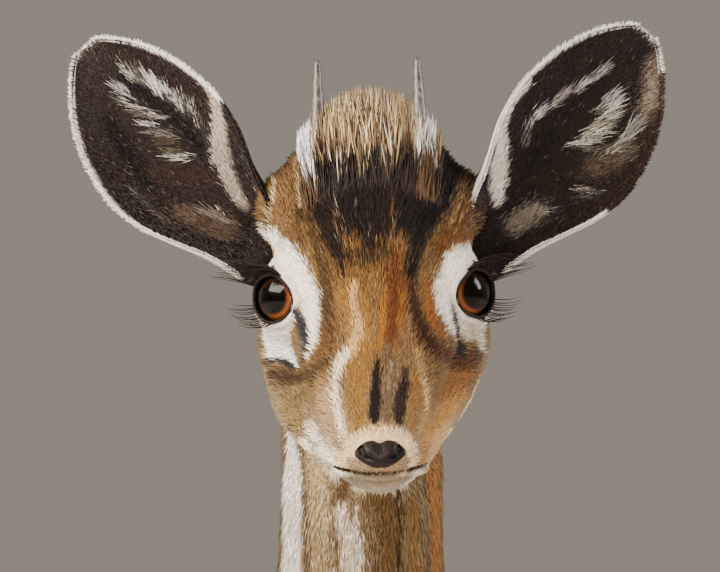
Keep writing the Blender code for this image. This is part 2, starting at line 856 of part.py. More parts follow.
def dewclaw(name, leg, pair, side_name, toe):
    """One of the two small false hooves behind the fetlock."""
    x, y, z = leg_rows(pair, side_name)[-4][:3]
    centre = Vector((x, y, z)) + Vector(mirrored(DEWCLAW_PLACE, toe))
    tilt = Matrix.Translation(centre) @ Matrix.Rotation(DEWCLAW_TILT, 4, "X")
    claw = ellipsoid(name, (0, 0, 0), DEWCLAW_RADII, tilt, segments=8, rings=6)
    return seated(claw, leg)


def nose_pad(name, head):
    """The bare heart-shaped pad at the end of the muzzle, with its two comma-shaped nostrils."""
    pad = ellipsoid(name, (0, 0, 0), NOSE_RADII, segments=18, rings=10)
    place = HEAD @ Matrix.Translation(NOSE_CENTRE)
    for vert in pad.data.vertices:
        x, y, z = vert.co / MM
        down = max(0.0, -z / NOSE_RADII[2])
        vert.co = (place @ Vector((x * (1 - NOSE_TAPER * down), y, z))) * MM
    boolean(head, inflated(pad, GAP), "DIFFERENCE")
    for side in SIDES.values():
        for centre, radii in NOSTRILS:
            nostril = ellipsoid("nostril", mirrored(centre, side), radii, HEAD, 8, 6)
            boolean(pad, nostril, "DIFFERENCE")
    return pad


def gland_slits(head):
    """The slit of the scent gland that lies before each eye."""
    tree = tree_of(head)
    for side in SIDES.values():
        outside = HEAD @ Vector((60 * side, *GLAND_PLACE))
        inwards = HEAD.to_3x3() @ Vector((-side, 0.25, 0))
        point, _ = on_skin(tree, outside, inwards)
        slit = Matrix.Translation(point) @ HEAD.to_3x3().to_4x4() @ Matrix.Rotation(GLAND_TILT, 4, "X")
        boolean(head, ellipsoid("slit", (0, 0, 0), GLAND_RADII, slit, 12, 8), "DIFFERENCE")


def build():
    clear_scene()
    coats = {
        "grizzled": coat("grizzled_coat", (0.30, 0.21, 0.13), 0.8),
        "tawny": coat("tawny_coat", (0.45, 0.26, 0.11), 0.8),
        "ear": coat("ear_coat", (0.10, 0.08, 0.07), 0.8),
        "horn": coat("dark_horn", (0.06, 0.05, 0.045), 0.45),
        "nose": coat("moist_nose", (0.03, 0.022, 0.02), 0.35),
        "eye": coat("wet_eye", (0.02, 0.012, 0.008), 0.08),
    }
    flesh = welded_flesh()
    nodes = part_body(flesh)

    head = thinned(flesh, "head", HEAD_TRIANGLES)
    jaw = thinned(flesh, "jaw", JAW_TRIANGLES)
    discard(flesh)
    for node in (head, jaw):
        boolean(node, block("cut", NECK_TOP_CUT, towards_head=True), "INTERSECT")
    boolean(jaw, jaw_block("below", -MOUTH_GAP / 2), "INTERSECT")
    boolean(head, jaw_block("below", MOUTH_GAP / 2), "DIFFERENCE")
    nodes["jaw"] = jaw

    for side_name, side in SIDES.items():
        nodes[f"ear_{side_name}"] = seated(ear(f"ear_{side_name}", side), head)
        socket = ellipsoid("socket", (0, 0, 0), (EYE_RADIUS + GAP,) * 3, eye_frame(side), 20, 13)
        boolean(head, lid_cutter(side), "DIFFERENCE")
        boolean(head, socket, "DIFFERENCE")
        nodes[f"eye_{side_name}"] = eyeball(f"eye_{side_name}", side)
    nodes["nose"] = nose_pad("nose", head)
    gland_slits(head)
    nodes["head"] = fuse(head, crest_locks(head))
    for side_name, side in SIDES.items():
        nodes[f"horn_{side_name}"] = horn(f"horn_{side_name}", side)
        boolean(head, inflated(nodes[f"horn_{side_name}"], GAP), "DIFFERENCE")

    for pair, side_name in STRIDE:
        leg = nodes[f"{pair}leg_{side_name}"]
        for toe_name, toe in (("outer", SIDES[side_name]), ("inner", -SIDES[side_name])):
            ending = f"{pair}_{side_name}_{toe_name}"
            nodes["hoof_" + ending] = hoof("hoof_" + ending, pair, side_name, toe)
            nodes["dewclaw_" + ending] = dewclaw("dewclaw_" + ending, leg, pair, side_name, toe)

    for name, node in nodes.items():
        first = name.split("_")[0]
        kind = {"ear": "ear", "horn": "horn", "hoof": "horn", "dewclaw": "horn", "nose": "nose",
                "eye": "eye", "head": "tawny", "jaw": "tawny"}.get(first, "grizzled")
        node.data.materials.clear()
        node.data.materials.append(coats[kind])
        node.data.shade_smooth()
        node.data.set_sharp_from_angle(angle=math.radians(40))
        node.data.transform(Matrix.Translation((SHIFT[0] * MM, SHIFT[1] * MM, 0)))


build()
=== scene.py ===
"""Kirk's dik-dik, standing still as a museum model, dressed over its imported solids.

The animal faces -Y and its left side is +X. Sizes are in millimetres, in the frame that the solids
were modelled in. SHIFT then brings them over the model's origin, and MM turns them to metres.

One skin carries the whole body. Over it lies the coat, in short tapered tufts. Their lie, length and
ground colour are read from a coat map, and the markings are painted on skin and hair alike, in strokes.
"""
import math

import bmesh
import bpy
import numpy as np
from mathutils import Matrix, Vector
from mathutils.bvhtree import BVHTree


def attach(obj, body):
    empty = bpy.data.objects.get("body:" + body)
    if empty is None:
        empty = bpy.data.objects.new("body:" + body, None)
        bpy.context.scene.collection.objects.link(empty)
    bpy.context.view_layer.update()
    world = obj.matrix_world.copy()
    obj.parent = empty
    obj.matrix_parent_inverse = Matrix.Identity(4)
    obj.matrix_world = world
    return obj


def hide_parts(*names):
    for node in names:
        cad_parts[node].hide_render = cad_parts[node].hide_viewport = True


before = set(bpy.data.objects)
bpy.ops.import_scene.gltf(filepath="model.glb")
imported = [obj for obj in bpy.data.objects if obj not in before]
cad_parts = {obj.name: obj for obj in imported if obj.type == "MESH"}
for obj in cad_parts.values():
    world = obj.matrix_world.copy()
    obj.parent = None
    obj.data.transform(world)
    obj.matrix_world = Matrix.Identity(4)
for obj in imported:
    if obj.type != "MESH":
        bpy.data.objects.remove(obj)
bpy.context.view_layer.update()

MM = 0.001

# Driving sizes of the solids, in millimetres
EYE_HEIGHT = 470.0
EYE_FORWARD = -197.0
HEAD_SIDE = 4.0
HEAD_PITCH = 36.0
HEAD_YAW = 0.6
HEAD_ROLL = -1.5
HOOF_TOP = 17.0
SHIFT = (-2.08, 10.1, 0.0)
VOXEL = 2.0
SMOOTHING = 22
FIRM_HEIGHT = 250.0

CARRIAGE = (
    Matrix.Rotation(math.radians(HEAD_YAW), 4, "Z") @ Matrix.Rotation(math.radians(HEAD_ROLL), 4, "Y")
)
HEAD = (
    Matrix.Translation((HEAD_SIDE, EYE_FORWARD, EYE_HEIGHT))
    @ CARRIAGE
    @ Matrix.Rotation(math.radians(HEAD_PITCH), 4, "X")
)
BODY = Matrix.Identity(4)
SIDES = {"left": 1, "right": -1}

# Stations of a loft are (x, y, z, half width, half depth), the head's in its own frame
TORSO = (
    (0, -132, 306, 12, 20),
    (0, -123, 304, 27, 39),
    (0, -101, 300, 38, 58),
    (0, -68, 299, 44, 68),
    (0, -25, 300, 49, 68),
    (0, 20, 303, 53, 66),
    (0, 62, 309, 52, 65),
    (0, 100, 317, 47, 65),
    (0, 138, 323, 45, 67),
    (0, 168, 323, 40, 61),
    (0, 191, 318, 29, 46),
    (0, 204, 314, 13, 25),
)
NECK = (
    (0, -50, 314, 36, 52),
    (0, -80, 337, 33.5, 49),
    (0, -106, 366, 27.5, 40),
    (0.3, -124, 398, 23.7, 33.5),
    (1, -136, 430, 23.4, 30.5),
    (2.5, -146, 460, 23.5, 28.5),
    (4, -154, 485, 21, 26),
    (4, -163, 503, 15, 15),
)
CRANIUM = (
    (0, 60, 6, 9, 9),
    (0, 54, 7, 20, 18),
    (0, 38, 7, 28.5, 24.5),
    (0, 18, 6, 29.5, 25.5),
    (0, 0, 3.5, 27.5, 23.5),
    (0, -14, 0.5, 24.5, 19.5),
    (0, -28, -3, 20.5, 16),
    (0, -42, -6, 17, 13.5),
    (0, -54, -8, 15, 12),
    (0, -63, -9.5, 13, 10.5),
    (0, -69.5, -11, 6.5, 6),
)
MANDIBLE = (
    (0, 46, -11, 14, 12),
    (0, 33, -18, 24, 19),
    (0, 14, -22, 30.5, 19.5),
    (-0.3, -6, -23, 31, 18),
    (-1.2, -24, -21.5, 27.5, 14),
    (-0.8, -40, -21.5, 20.6, 9.5),
    (0, -52, -21.8, 14, 6.8),
    (0, -61, -21.8, 7, 4.2),
)
FORELEG = (
    (28, -78, 318, 15, 33),
    (36, -80, 284, 16, 33),
    (37.5, -70, 246, 14, 23),
    (36.5, -72, 214, 12, 16.5),
    (35, -79, 172, 9.3, 11.5),
    (34, -84, 146, 8.8, 9.8),
    (33.5, -86, 132, 9.6, 10.4),
    (33.5, -86, 115, 7.5, 8.2),
    (33.5, -87, 86, 6.8, 7.6),
    (33.5, -88, 61, 7.2, 8.2),
    (33.5, -89, 47, 9.0, 10.2),
    (33.5, -94, 33, 8.4, 8.8),
    (33.5, -99, 20, 10.3, 9.6),
    (33.5, -102, 11, 10.3, 9.6),
)
HINDLEG = (
    (22, 140, 334, 20, 46),
    (31, 140, 300, 24, 54),
    (37, 128, 264, 21, 45),
    (39, 117, 238, 17, 32),
    (38.5, 131, 212, 13.5, 22),
    (37, 153, 184, 10, 14.5),
    (35.5, 171, 160, 9.8, 13),
    (35, 176, 142, 8.8, 11),
    (34.5, 174, 122, 7.6, 9),
    (34, 170, 90, 7.0, 8),
    (33.5, 166, 62, 7.4, 8.6),
    (33.5, 164, 48, 9, 10.4),
    (33.5, 158, 33, 8.4, 9),
    (33.5, 153, 20, 10.3, 9.6),
    (33.5, 150, 11, 10.3, 9.6),
)
TAIL = (
    (0, 176, 352, 9, 10),
    (0, 196, 352, 9.5, 9),
    (0, 212, 342, 9, 7.5),
    (0, 223, 326, 8, 6.5),
    (0, 229, 309, 5.5, 4.5),
    (0, 231, 300, 2, 2),
)
STRIDE = {("fore", "left"): -9.0, ("fore", "right"): 8.0, ("hind", "left"): 12.0, ("hind", "right"): -8.0}
LEG_ROWS = {"fore": FORELEG, "hind": HINDLEG}
STRIDE_FROM = 250.0

# Rounded forms laid over the lofts: (centre, radii), the sideways ones mirrored
BODY_FORMS = (
    ((36, -84, 300), (13, 30, 46)),     # shoulder blade
    ((30, 148, 319), (20, 46, 53)),     # haunch
    ((35.5, 179, 170), (6, 8, 13)),     # point of the hock
    ((0, -122, 318), (17, 15, 24)),     # breast
)
EYE_CENTRE = (22.5, 0, 0.5)
EYE_RADIUS = 11.4
LID_RADIUS = 12.9
HEAD_FORMS = (
    (EYE_CENTRE, (LID_RADIUS, LID_RADIUS, LID_RADIUS)),
    ((20, 3, 13), (9, 13, 7)),          # brow
    ((24, 4, -16), (9, 20, 12)),        # cheek bone
    ((25.5, 33, 8), (8, 11, 12)),       # root of the ear
    ((8.5, -59, -12), (6.8, 8.5, 7)),   # upper lip
    ((0, -60, -5), (10, 9, 7)),         # bulb of the nose
)
NECK_BASE = ((0, -92, 347), (0, -0.55, 0.835))
NECK_TOP = ((0, -141, 459), (0, -0.8, 0.6))
MOUTH_LINE = ((-82, -10.8), (-68, -11.8), (-63, -13.2), (-58, -15.2), (-52, -17.2), (-46, -19), (-36, -21.6),
              (-33, -23))

# The ear is a leaf curled into a cup: (share of the length, width, half angle of the curl)
EAR_ROWS = (
    (-0.2, 17, 118),
    (-0.08, 20.5, 112),
    (0.04, 26, 100),
    (0.16, 32.5, 84),
    (0.28, 38.5, 70),
    (0.40, 41.5, 59),
    (0.52, 41, 50),
    (0.66, 37, 42),
    (0.80, 29, 34),
    (0.91, 18, 26),
    (0.97, 9.5, 20),
    (1.0, 3.4, 14),
)
EAR_BASE = (36, 31, 21.5)
EAR_TIP = (83.4, 38, 76)
EAR_FACING = (0.22, -0.97, -0.02)
EAR_THICK = 2.0
EAR_RIM = 0.9
EAR_OUTWARD_BOW = 2.6

HORN_ROOT = (15, 26, 27)
HORN_TIP = (14.6, 53.4, 47.6)
HORN_RADIUS = 3.6
HORN_TIP_RADIUS = 0.9
HORN_ROOTED = 6.0
HORN_POINT = (0.95, 0.82, 0.6, 0.2)     # how its last rings narrow

EYE_OUTWARD = 46.0      # degrees from straight ahead to the middle of the lids
GAZE_OUTWARD = 38.0     # and to the middle of the pupil
LID_OPENING = (8.7, 7.0)
LID_TILT = 8.0
CORNEA_RADIUS = 7.6
CORNEA_RISE = 0.7
PUPIL_RADIUS = 4.2
IRIS_RADIUS = 6.3
IRIS_FULL = 12.0        # the radius at which its colours end
LID_PINCH = 0.12        # how much lower the opening is towards its corners

# Folds about the lids and along the mouth: (depth, distance, breadth), a ridge where the depth is below 0
LID_FOLDS = ((0.45, 1.42, 0.07), (-0.30, 1.24, 0.10))
MOUTH_FOLDS = ((1.3, 0, 0.8), (-0.35, 2.2, 1.2))
# Hollows of the face, in the head: (centre, radii, depth), a swelling where the depth is below 0
FACE_HOLLOWS = (
    ((20.5, -15.5, -11.0), (3, 6.5, 2.2), 1.2),     # scent gland before the eye
    ((8.5, -64, -7), (2.0, 3.5, 3.5), -0.5),        # wing of the nose
)
# A nostril is two hollows that run together: (centre, radii)
NOSTRIL = (((4.3, -71.6, -4.7), (2.0, 5, 1.15)), ((5.9, -70.4, -3.2), (1.1, 5, 1.5)))
NOSTRIL_DEPTH = 1.7
COAT_SINK = 0.5         # share of the coat's height by which the skin lies lower than the solids
LID_SINK = 0.3          # and how much lower it lies about the eyes, in millimetres
HEAD_REACH = 80.0       # how far from the eyes the head ends
HEAD_MIDDLE = (0, -5, -5)

NOSE_CENTRE = (0, -67.5, -5.4)
NOSE_RADII = (7.3, 4.6, 4.3)
NOSE_TAPER = 0.5

HOOF_LENGTH = 27.0
HOOF_ROWS = (
    (0, 1.0, 0.0, 1.15),
    (2.5, 1.02, 0.0, 1.1),
    (9.5, 0.97, 1.0, 0.86),
    (HOOF_TOP - 0.3, 0.9, 2.0, 0.62),
)
HOOF_WIDTH = 9.6
HOOF_AHEAD = 0.58
TOE_GAP = 0.9
TOE_TURN = 0.6

# The picture's frame. One of its pixels is 0.29 mm at the eyes.
PICTURE = (720, 572)
PIXEL = 0.29
EYES_AT = (374, 298)
IN_FRONT = -400.0       # where a look from the picture starts

# The coat map: (frame, place, lie of the hair, length, thickness, degrees it rises, ground colour)
COAT = (
    ("head", (0, -62, 0), (0, 1, 0.3), 2.4, 0.34, 14, "#766146"),
    ("head", (0, -40, 8), (0, 1, 0.2), 3.2, 0.40, 12, "#795B36"),
    ("head", (0, -15, 20), (0, 1, 0.2), 4.4, 0.42, 12, "#74522A"),
    ("head", (0, 6, 29), (0, 1, 0.1), 6.5, 0.46, 15, "#573F28"),
    ("head", (0, 32, 32), (0, 1, 0.1), 8.0, 0.55, 24, "#64543D"),
    ("head", (18, 2, 22), (0.3, 0.9, 0.3), 5.5, 0.44, 12, "#6A4D28"),
    ("head", (24, 24, 22), (0.4, 0.9, 0.3), 6.0, 0.46, 14, "#61492C"),
    ("head", (14, -16, 8), (0.35, 0.9, 0.2), 3.6, 0.40, 10, "#76552E"),
    ("head", (27, 2, 13), (0.45, 0.85, 0.2), 3.0, 0.38, 10, "#816747"),
    ("head", (20, -14, -8), (0.3, 0.8, -0.5), 2.8, 0.38, 10, "#765C3A"),
    ("head", (28, 4, -14), (0.2, 0.9, -0.4), 3.8, 0.42, 10, "#766041"),
    ("head", (26, -4, -26), (0.2, 0.9, -0.4), 4.0, 0.42, 12, "#7F6A4F"),
    ("head", (29, 22, -12), (0.1, 0.9, -0.4), 4.8, 0.45, 13, "#6D593D"),
    ("head", (29, 34, 4), (0.4, 0.6, -0.5), 6.0, 0.50, 15, "#695232"),
    ("head", (16, -38, -6), (0.15, 1, -0.1), 3.0, 0.38, 11, "#7B5D36"),
    ("head", (11, -58, -13), (0.35, 0.9, -0.3), 2.2, 0.34, 12, "#908571"),
    ("head", (15, -44, -22), (0.2, 1, -0.3), 3.4, 0.38, 12, "#9B907E"),
    ("head", (0, -54, -28), (0, 1, -0.2), 3.2, 0.38, 14, "#A1998B"),
    ("head", (0, -22, -36), (0, 1, -0.1), 3.4, 0.42, 13, "#9C9383"),
    ("head", (20, -14, -34), (0.15, 1, -0.3), 3.6, 0.42, 12, "#90836D"),
    ("head", (0, 10, -42), (0, 1, -0.2), 4.6, 0.48, 14, "#988E7D"),
    ("head", (24, 22, -34), (0.1, 0.8, -0.6), 4.8, 0.48, 13, "#816D53"),
    ("head", (0, 60, 14), (0, 0.8, -0.6), 9.0, 0.62, 16, "#5D4832"),
    ("head", (22, 52, 4), (0.1, 0.6, -0.8), 8.0, 0.58, 15, "#614C34"),
    ("body", (0, -108, 450), (0, 0.4, -0.9), 10.0, 0.70, 15, "#5B4732"),
    ("body", (0, -92, 410), (0, 0.45, -0.9), 12.0, 0.80, 15, "#594732"),
    ("body", (0, -55, 380), (0, 0.8, -0.5), 13.0, 0.90, 15, "#574633"),
    ("body", (0, -176, 446), (0, 0.2, -1), 5.5, 0.50, 13, "#90836F"),
    ("body", (0, -162, 405), (0, 0.1, -1), 6.5, 0.55, 13, "#816C4F"),
    ("body", (0, -158, 370), (0, 0.1, -1), 8.0, 0.62, 13, "#7C6141"),
    ("body", (23, -140, 430), (0, 0.2, -1), 6.5, 0.52, 13, "#766247"),
    ("body", (25, -118, 395), (0, 0.35, -0.95), 10.0, 0.70, 13, "#6C583F"),
    ("body", (34, -92, 350), (0, 0.6, -0.8), 11.0, 0.80, 14, "#68543B"),
    ("body", (0, -142, 318), (0, 0.2, -1), 11.0, 0.80, 15, "#867154"),
    ("body", (0, -58, 368), (0, 1, -0.2), 14.0, 1.0, 15, "#66533E"),
    ("body", (0, 20, 369), (0, 1, 0), 15.0, 1.1, 15, "#645440"),
    ("body", (0, 90, 380), (0, 1, 0), 15.0, 1.1, 15, "#645440"),
    ("body", (0, 150, 388), (0, 0.95, -0.2), 15.0, 1.1, 15, "#6A5640"),
    ("body", (0, 204, 336), (0, 0.3, -1), 12.0, 1.0, 14, "#A7957B"),
    ("body", (46, -84, 305), (0, 0.5, -0.85), 10.5, 0.90, 13, "#866945"),
    ("body", (50, -20, 320), (0, 0.9, -0.35), 12.5, 1.0, 14, "#79634A"),
    ("body", (52, 40, 305), (0, 0.95, -0.3), 13.0, 1.0, 14, "#7E6648"),
    ("body", (48, 90, 290), (0, 0.9, -0.45), 13.0, 1.0, 14, "#8C7251"),
    ("body", (47, 150, 330), (0, 0.5, -0.85), 11.5, 0.95, 13, "#806746"),
    ("body", (30, 195, 310), (0, 0.3, -1), 11.0, 0.95, 13, "#927B59"),
    ("body", (0, -80, 233), (0, 0.9, -0.1), 10.0, 0.90, 15, "#B8AE99"),
    ("body", (0, 20, 237), (0, 1, 0), 12.0, 1.0, 16, "#C1B7A9"),
    ("body", (0, 85, 250), (0, 0.9, 0.1), 11.0, 1.0, 15, "#BDB3A1"),
    ("body", (30, 0, 246), (0, 0.9, -0.3), 12.0, 1.0, 15, "#AA9979"),
    ("body", (51, -74, 255), (0, 0.15, -1), 8.5, 0.80, 12, "#907046"),
    ("body", (25, -72, 250), (0, 0.15, -1), 7.0, 0.75, 12, "#AF9E7F"),
    ("body", (45, -78, 190), (0, 0.1, -1), 6.0, 0.70, 11, "#957447"),
    ("body", (43, -88, 135), (0, 0.05, -1), 4.5, 0.62, 10, "#8C693D"),
    ("body", (40, -94, 80), (0, 0, -1), 4.2, 0.60, 10, "#92704A"),
    ("body", (40, -100, 38), (0, 0, -1), 4.4, 0.60, 11, "#856441"),
    ("body", (27, -82, 130), (0, 0, -1), 4.4, 0.60, 10, "#A38A63"),
    ("body", (57, 135, 280), (0, 0.35, -0.95), 10.0, 0.90, 13, "#8C6E46"),
    ("body", (20, 130, 265), (0, 0.3, -1), 8.0, 0.80, 12, "#B5A78C"),
    ("body", (50, 128, 215), (0, 0.3, -1), 7.5, 0.75, 12, "#927248"),
    ("body", (44, 178, 165), (0, 0.1, -1), 5.5, 0.65, 11, "#8C6B43"),
    ("body", (41, 166, 95), (0, 0, -1), 4.2, 0.60, 10, "#92704A"),
    ("body", (27, 168, 100), (0, 0, -1), 4.2, 0.60, 10, "#A58C68"),
    ("body", (40, 154, 38), (0, 0, -1), 4.4, 0.60, 11, "#856441"),
    ("body", (0, 208, 352), (0, 0.8, -0.5), 11.0, 0.90, 15, "#725D43"),
    ("body", (0, 234, 320), (0, 0.2, -1), 10.0, 0.90, 14, "#776246"),
    ("body", (0, 216, 322), (0, 0.1, -1), 9.0, 0.90, 14, "#BDB4A7"),
)

# Markings, in the order they are painted: (colour, softness, (picture x, y, radius), ...) in pixels
MARKS = (
    # Side of the head, from the ear to the brow
    ("#A08662", 10, (330, 400, 14), (345, 430, 14), (385, 445, 26)),
    ("#9C7440", 8, (418, 385, 12), (424, 410, 14), (424, 435, 14), (420, 455, 8)),
    ("#7C5C38", 8, (286, 160, 20), (282, 195, 22), (288, 225, 14)),
    ("#4A3520", 5, (282, 168, 6), (292, 160, 6)),
    ("#43311C", 6, (304, 215, 9), (312, 240, 9), (320, 262, 9), (327, 288, 9), (330, 335, 9)),
    # Painted highlight: a thin lighter line along the brow band
    ("#7E6136", 2.5, (306, 232, 2), (316, 262, 2.5), (320, 292, 3)),
    ("#34231A", 7, (474, 130, 22), (476, 175, 24), (478, 205, 16)),
    ("#684420", 6, (464, 215, 10), (450, 236, 11), (436, 258, 10)),
    ("#74491F", 5, (474, 238, 6), (452, 252, 6)),
    # Cheeks and jaw
    ("#816843", 10, (296, 405, 17), (304, 428, 16), (322, 445, 14)),
    ("#6C5637", 6, (318, 392, 8), (304, 402, 7)),
    ("#403020", 6, (277, 375, 8), (296, 382, 10), (316, 376, 9), (332, 364, 6)),
    ("#35281A", 1.5, (297, 385, 1.8), (309, 378, 2), (322, 371, 1.6)),
    # Painted highlight along the outer edge of the animal's right cheek
    ("#D8C4A0", 2.5, (266, 385, 4), (271, 408, 5), (277, 430, 6)),
    ("#F1E4CC", 7, (314, 432, 5), (326, 448, 9), (340, 465, 9)),
    ("#EFE0C8", 5, (304, 440, 5), (320, 463, 7), (343, 480, 8), (363, 489, 6), (381, 491, 5), (399, 487, 5),
     (417, 470, 5)),
    # Painted shade: the middle of the chin below the lip, beige among the cream
    ("#9E8770", 4, (362, 478, 4), (380, 481, 5), (396, 478, 4)),
    # These two strokes are the animal's left cheek in orange and brown: partly its own tan, partly painted
    # shade on the side away from the light
    ("#B8874A", 7, (456, 392, 14), (446, 408, 13), (434, 424, 12), (424, 440, 8)),
    ("#8C5E32", 8, (464, 370, 14), (452, 386, 12), (438, 392, 8)),
    ("#4E321B", 6, (422, 342, 9), (434, 354, 12), (450, 362, 11), (468, 360, 10)),
    ("#8A6436", 5, (411, 378, 6), (412, 400, 8), (413, 424, 8)),
    ("#C2A06C", 6, (446, 430, 9), (434, 446, 10), (424, 462, 6)),
    ("#DCC096", 2, (477, 380, 3), (470, 400, 4), (456, 424, 4), (441, 444, 3.5), (425, 462, 3)),
    ("#352013", 3.5, (407, 268, 4), (409, 290, 5), (412, 312, 6), (419, 333, 7), (428, 350, 6)),
    ("#8E5320", 2.5, (425, 290, 4), (425, 308, 5), (430, 328, 5), (440, 340, 3)),
    ("#3F3022", 2, (470, 352, 3), (478, 356, 2.5)),
    # Bridge of the nose
    ("#5D3F21", 5, (324, 332, 8), (330, 350, 7), (318, 363, 5)),
    ("#8C6530", 6, (352, 300, 10), (360, 330, 13), (362, 352, 12), (358, 380, 10), (358, 410, 9),
     (359, 430, 7)),
    ("#5E3415", 5, (392, 258, 6), (394, 285, 9), (393, 315, 10), (389, 345, 7)),
    ("#94601F", 2, (384, 300, 2), (382, 330, 3), (380, 352, 2)),
    ("#8A5520", 2, (400, 300, 2), (398, 330, 2)),
    ("#C9A26C", 3, (354, 290, 2), (356, 315, 2.5), (360, 335, 5), (353, 352, 6), (346, 362, 6)),
    # Painted highlight: a pale line down the edge of the muzzle on the animal's right
    ("#FAE6C4", 3.5, (347, 357, 5), (341, 369, 5), (338, 384, 4), (339, 402, 3.5), (342, 420, 3.2),
     (346, 436, 2.5)),
    # Painted highlight along the edge of the muzzle on the animal's left
    ("#B08B5A", 2.5, (415, 356, 3), (419, 375, 3.5), (424, 395, 3.5), (424, 412, 3.5), (418, 430, 3)),
    ("#DDBE8E", 1.8, (421, 382, 2), (424, 396, 2.2), (424, 408, 2)),
    # Muzzle: pale ring about the nose, two dark bars above it and grey between them
    ("#E4C79C", 2.5, (350, 452, 5), (353, 441, 5), (365, 434, 5), (382, 432, 5), (400, 435, 5),
     (410, 446, 5), (411, 459, 4), (402, 469, 3)),
    ("#D6BC98", 3, (340, 452, 6), (348, 466, 5)),
    ("#624E38", 2.5, (387, 350, 2), (390, 365, 5), (389, 385, 6), (386, 405, 4), (386, 422, 4)),
    # Painted highlight: a fine lighter line in the grey between the dark bars
    ("#8A7458", 1.2, (390, 366, 1.5), (388, 392, 1.5)),
    ("#1A130F", 1.8, (378, 360, 2), (377, 372, 4), (376, 386, 5), (375, 401, 6), (374, 415, 6),
     (375, 422, 4)),
    ("#2A1F18", 2.5, (404, 373, 3), (403, 386, 5), (400, 398, 7), (398, 412, 7), (398, 422, 5)),
    # Dark cap on the forehead
    ("#3F2D1A", 6, (350, 264, 8), (366, 267, 9), (384, 259, 8)),
    ("#1F140E", 5, (366, 150, 22), (368, 200, 22), (368, 232, 18), (371, 250, 11)),
    ("#20130C", 5, (380, 170, 8), (384, 210, 9), (386, 240, 8)),
    ("#1A110D", 5, (334, 160, 18), (342, 200, 17), (350, 234, 13)),
    ("#19110C", 5, (424, 150, 22), (412, 200, 20), (402, 234, 13)),
    ("#1E1410", 4, (316, 150, 12), (318, 180, 14), (323, 210, 14), (333, 238, 12), (340, 260, 8),
     (344, 278, 3)),
    ("#140E0B", 4, (450, 155, 18), (446, 182, 17), (434, 208, 15), (420, 232, 12), (412, 256, 8),
     (409, 280, 5)),
    # Single hairs in and beside it: painted highlights on hairs in the cap and beside it on the animal's
    # left, and pale hairs beside it on the animal's right
    ("#8C7A66", 1.0, (337, 207, 0.8), (341, 224, 0.8)),
    ("#8C7A66", 1.0, (356, 212, 0.8), (357, 222, 0.8)),
    ("#7C6A56", 1.0, (339, 232, 0.8), (341, 248, 0.8)),
    ("#7C6A56", 1.0, (346, 230, 0.8), (348, 240, 0.8)),
    ("#7C6A56", 1.0, (370, 236, 0.8), (369, 246, 0.8)),
    ("#7C6A56", 1.0, (394, 232, 0.8), (390, 246, 0.8)),
    ("#C39C62", 1.2, (461, 203, 1.5), (452, 222, 1.5), (445, 236, 1.2)),
    ("#B48A50", 1.2, (467, 207, 1.3), (459, 226, 1.3), (452, 240, 1.1)),
    ("#D6BE96", 1.4, (276, 178, 1.7), (277, 203, 1.7), (272, 222, 1.7)),
    ("#CDB184", 1.4, (292, 158, 1.7), (300, 178, 1.7), (303, 214, 1.7)),
    ("#D8BE90", 2, (294, 126, 2.5), (288, 145, 3), (280, 165, 2.5), (277, 173, 1.5)),
    # White about the eyes, and the dark streak below each inner corner
    ("#FBF1DC", 3.5, (264, 228, 7), (272, 240, 9), (284, 254, 9), (298, 268, 10), (306, 285, 11),
     (312, 305, 12), (316, 325, 10), (317, 342, 7), (313, 356, 4)),
    ("#F6F2EC", 2.5, (270, 335, 9), (284, 338, 10), (292, 334, 8), (276, 350, 10), (286, 353, 10),
     (297, 352, 8), (298, 361, 7), (304, 366, 3)),
    ("#FBEFD8", 3.5, (490, 250, 6), (474, 254, 8), (457, 264, 10), (446, 280, 12), (441, 298, 13),
     (441, 314, 11), (446, 328, 8), (454, 338, 5)),
    ("#C6B6A2", 3, (472, 326, 6), (476, 340, 7), (479, 350, 5)),
    ("#F3EDE4", 2, (290, 330, 12), (294, 340, 13), (298, 352, 12)),
    ("#2A2B2D", 2, (295, 312, 4), (303, 323, 6.5), (309, 337, 8), (310, 350, 8), (309, 363, 4)),
    ("#5C6068", 1.5, (308, 344, 2.2), (309, 355, 2)),
    ("#2E2926", 2, (450, 313, 4), (451, 326, 6), (453, 341, 7), (457, 355, 5)),
    # Painted shade: a dark dash under the animal's right eye
    ("#2E2A28", 1.5, (271, 363, 2), (282, 360, 2.5), (292, 365, 4), (298, 371, 2.5)),
    # Painted highlights in white at the roots of the horns
    ("#F8F4EC", 2, (315, 104, 3), (311, 120, 5), (307, 138, 6), (303, 155, 6), (301, 161, 5)),
    ("#F0E6D4", 1.5, (432, 118, 2), (435, 130, 3), (436, 144, 3)),
    # Neck
    ("#B3A07C", 5, (312, 455, 12), (318, 500, 14), (320, 572, 14), (320, 650, 4)),
    ("#5E4630", 5, (345, 484, 9), (340, 500, 5)),
    ("#E6D8C2", 5, (340, 512, 7), (350, 538, 11), (352, 575, 11), (352, 650, 3)),
    ("#6E5334", 5, (372, 500, 9), (390, 505, 13), (392, 545, 12), (390, 575, 12), (388, 650, 3)),
    ("#84663C", 4, (412, 505, 9), (414, 572, 9), (413, 650, 2)),
    ("#3A2A1A", 2, (399, 490, 2), (400, 530, 2.5), (399, 575, 2.5)),
    # Painted shade: the neck's left side, away from the light, painted brown-orange
    ("#A0703F", 4, (434, 465, 18), (435, 510, 18), (435, 572, 18), (435, 650, 2)),
    ("#F0E6DA", 1.5, (356, 503, 1.5), (357, 525, 2), (364, 556, 2)),
    # Painted light: the neck's right edge, where the light falls, painted white
    ("#F8F2E8", 4, (292, 440, 14), (291, 480, 27), (291, 530, 28), (291, 575, 28), (291, 650, 4)),
)

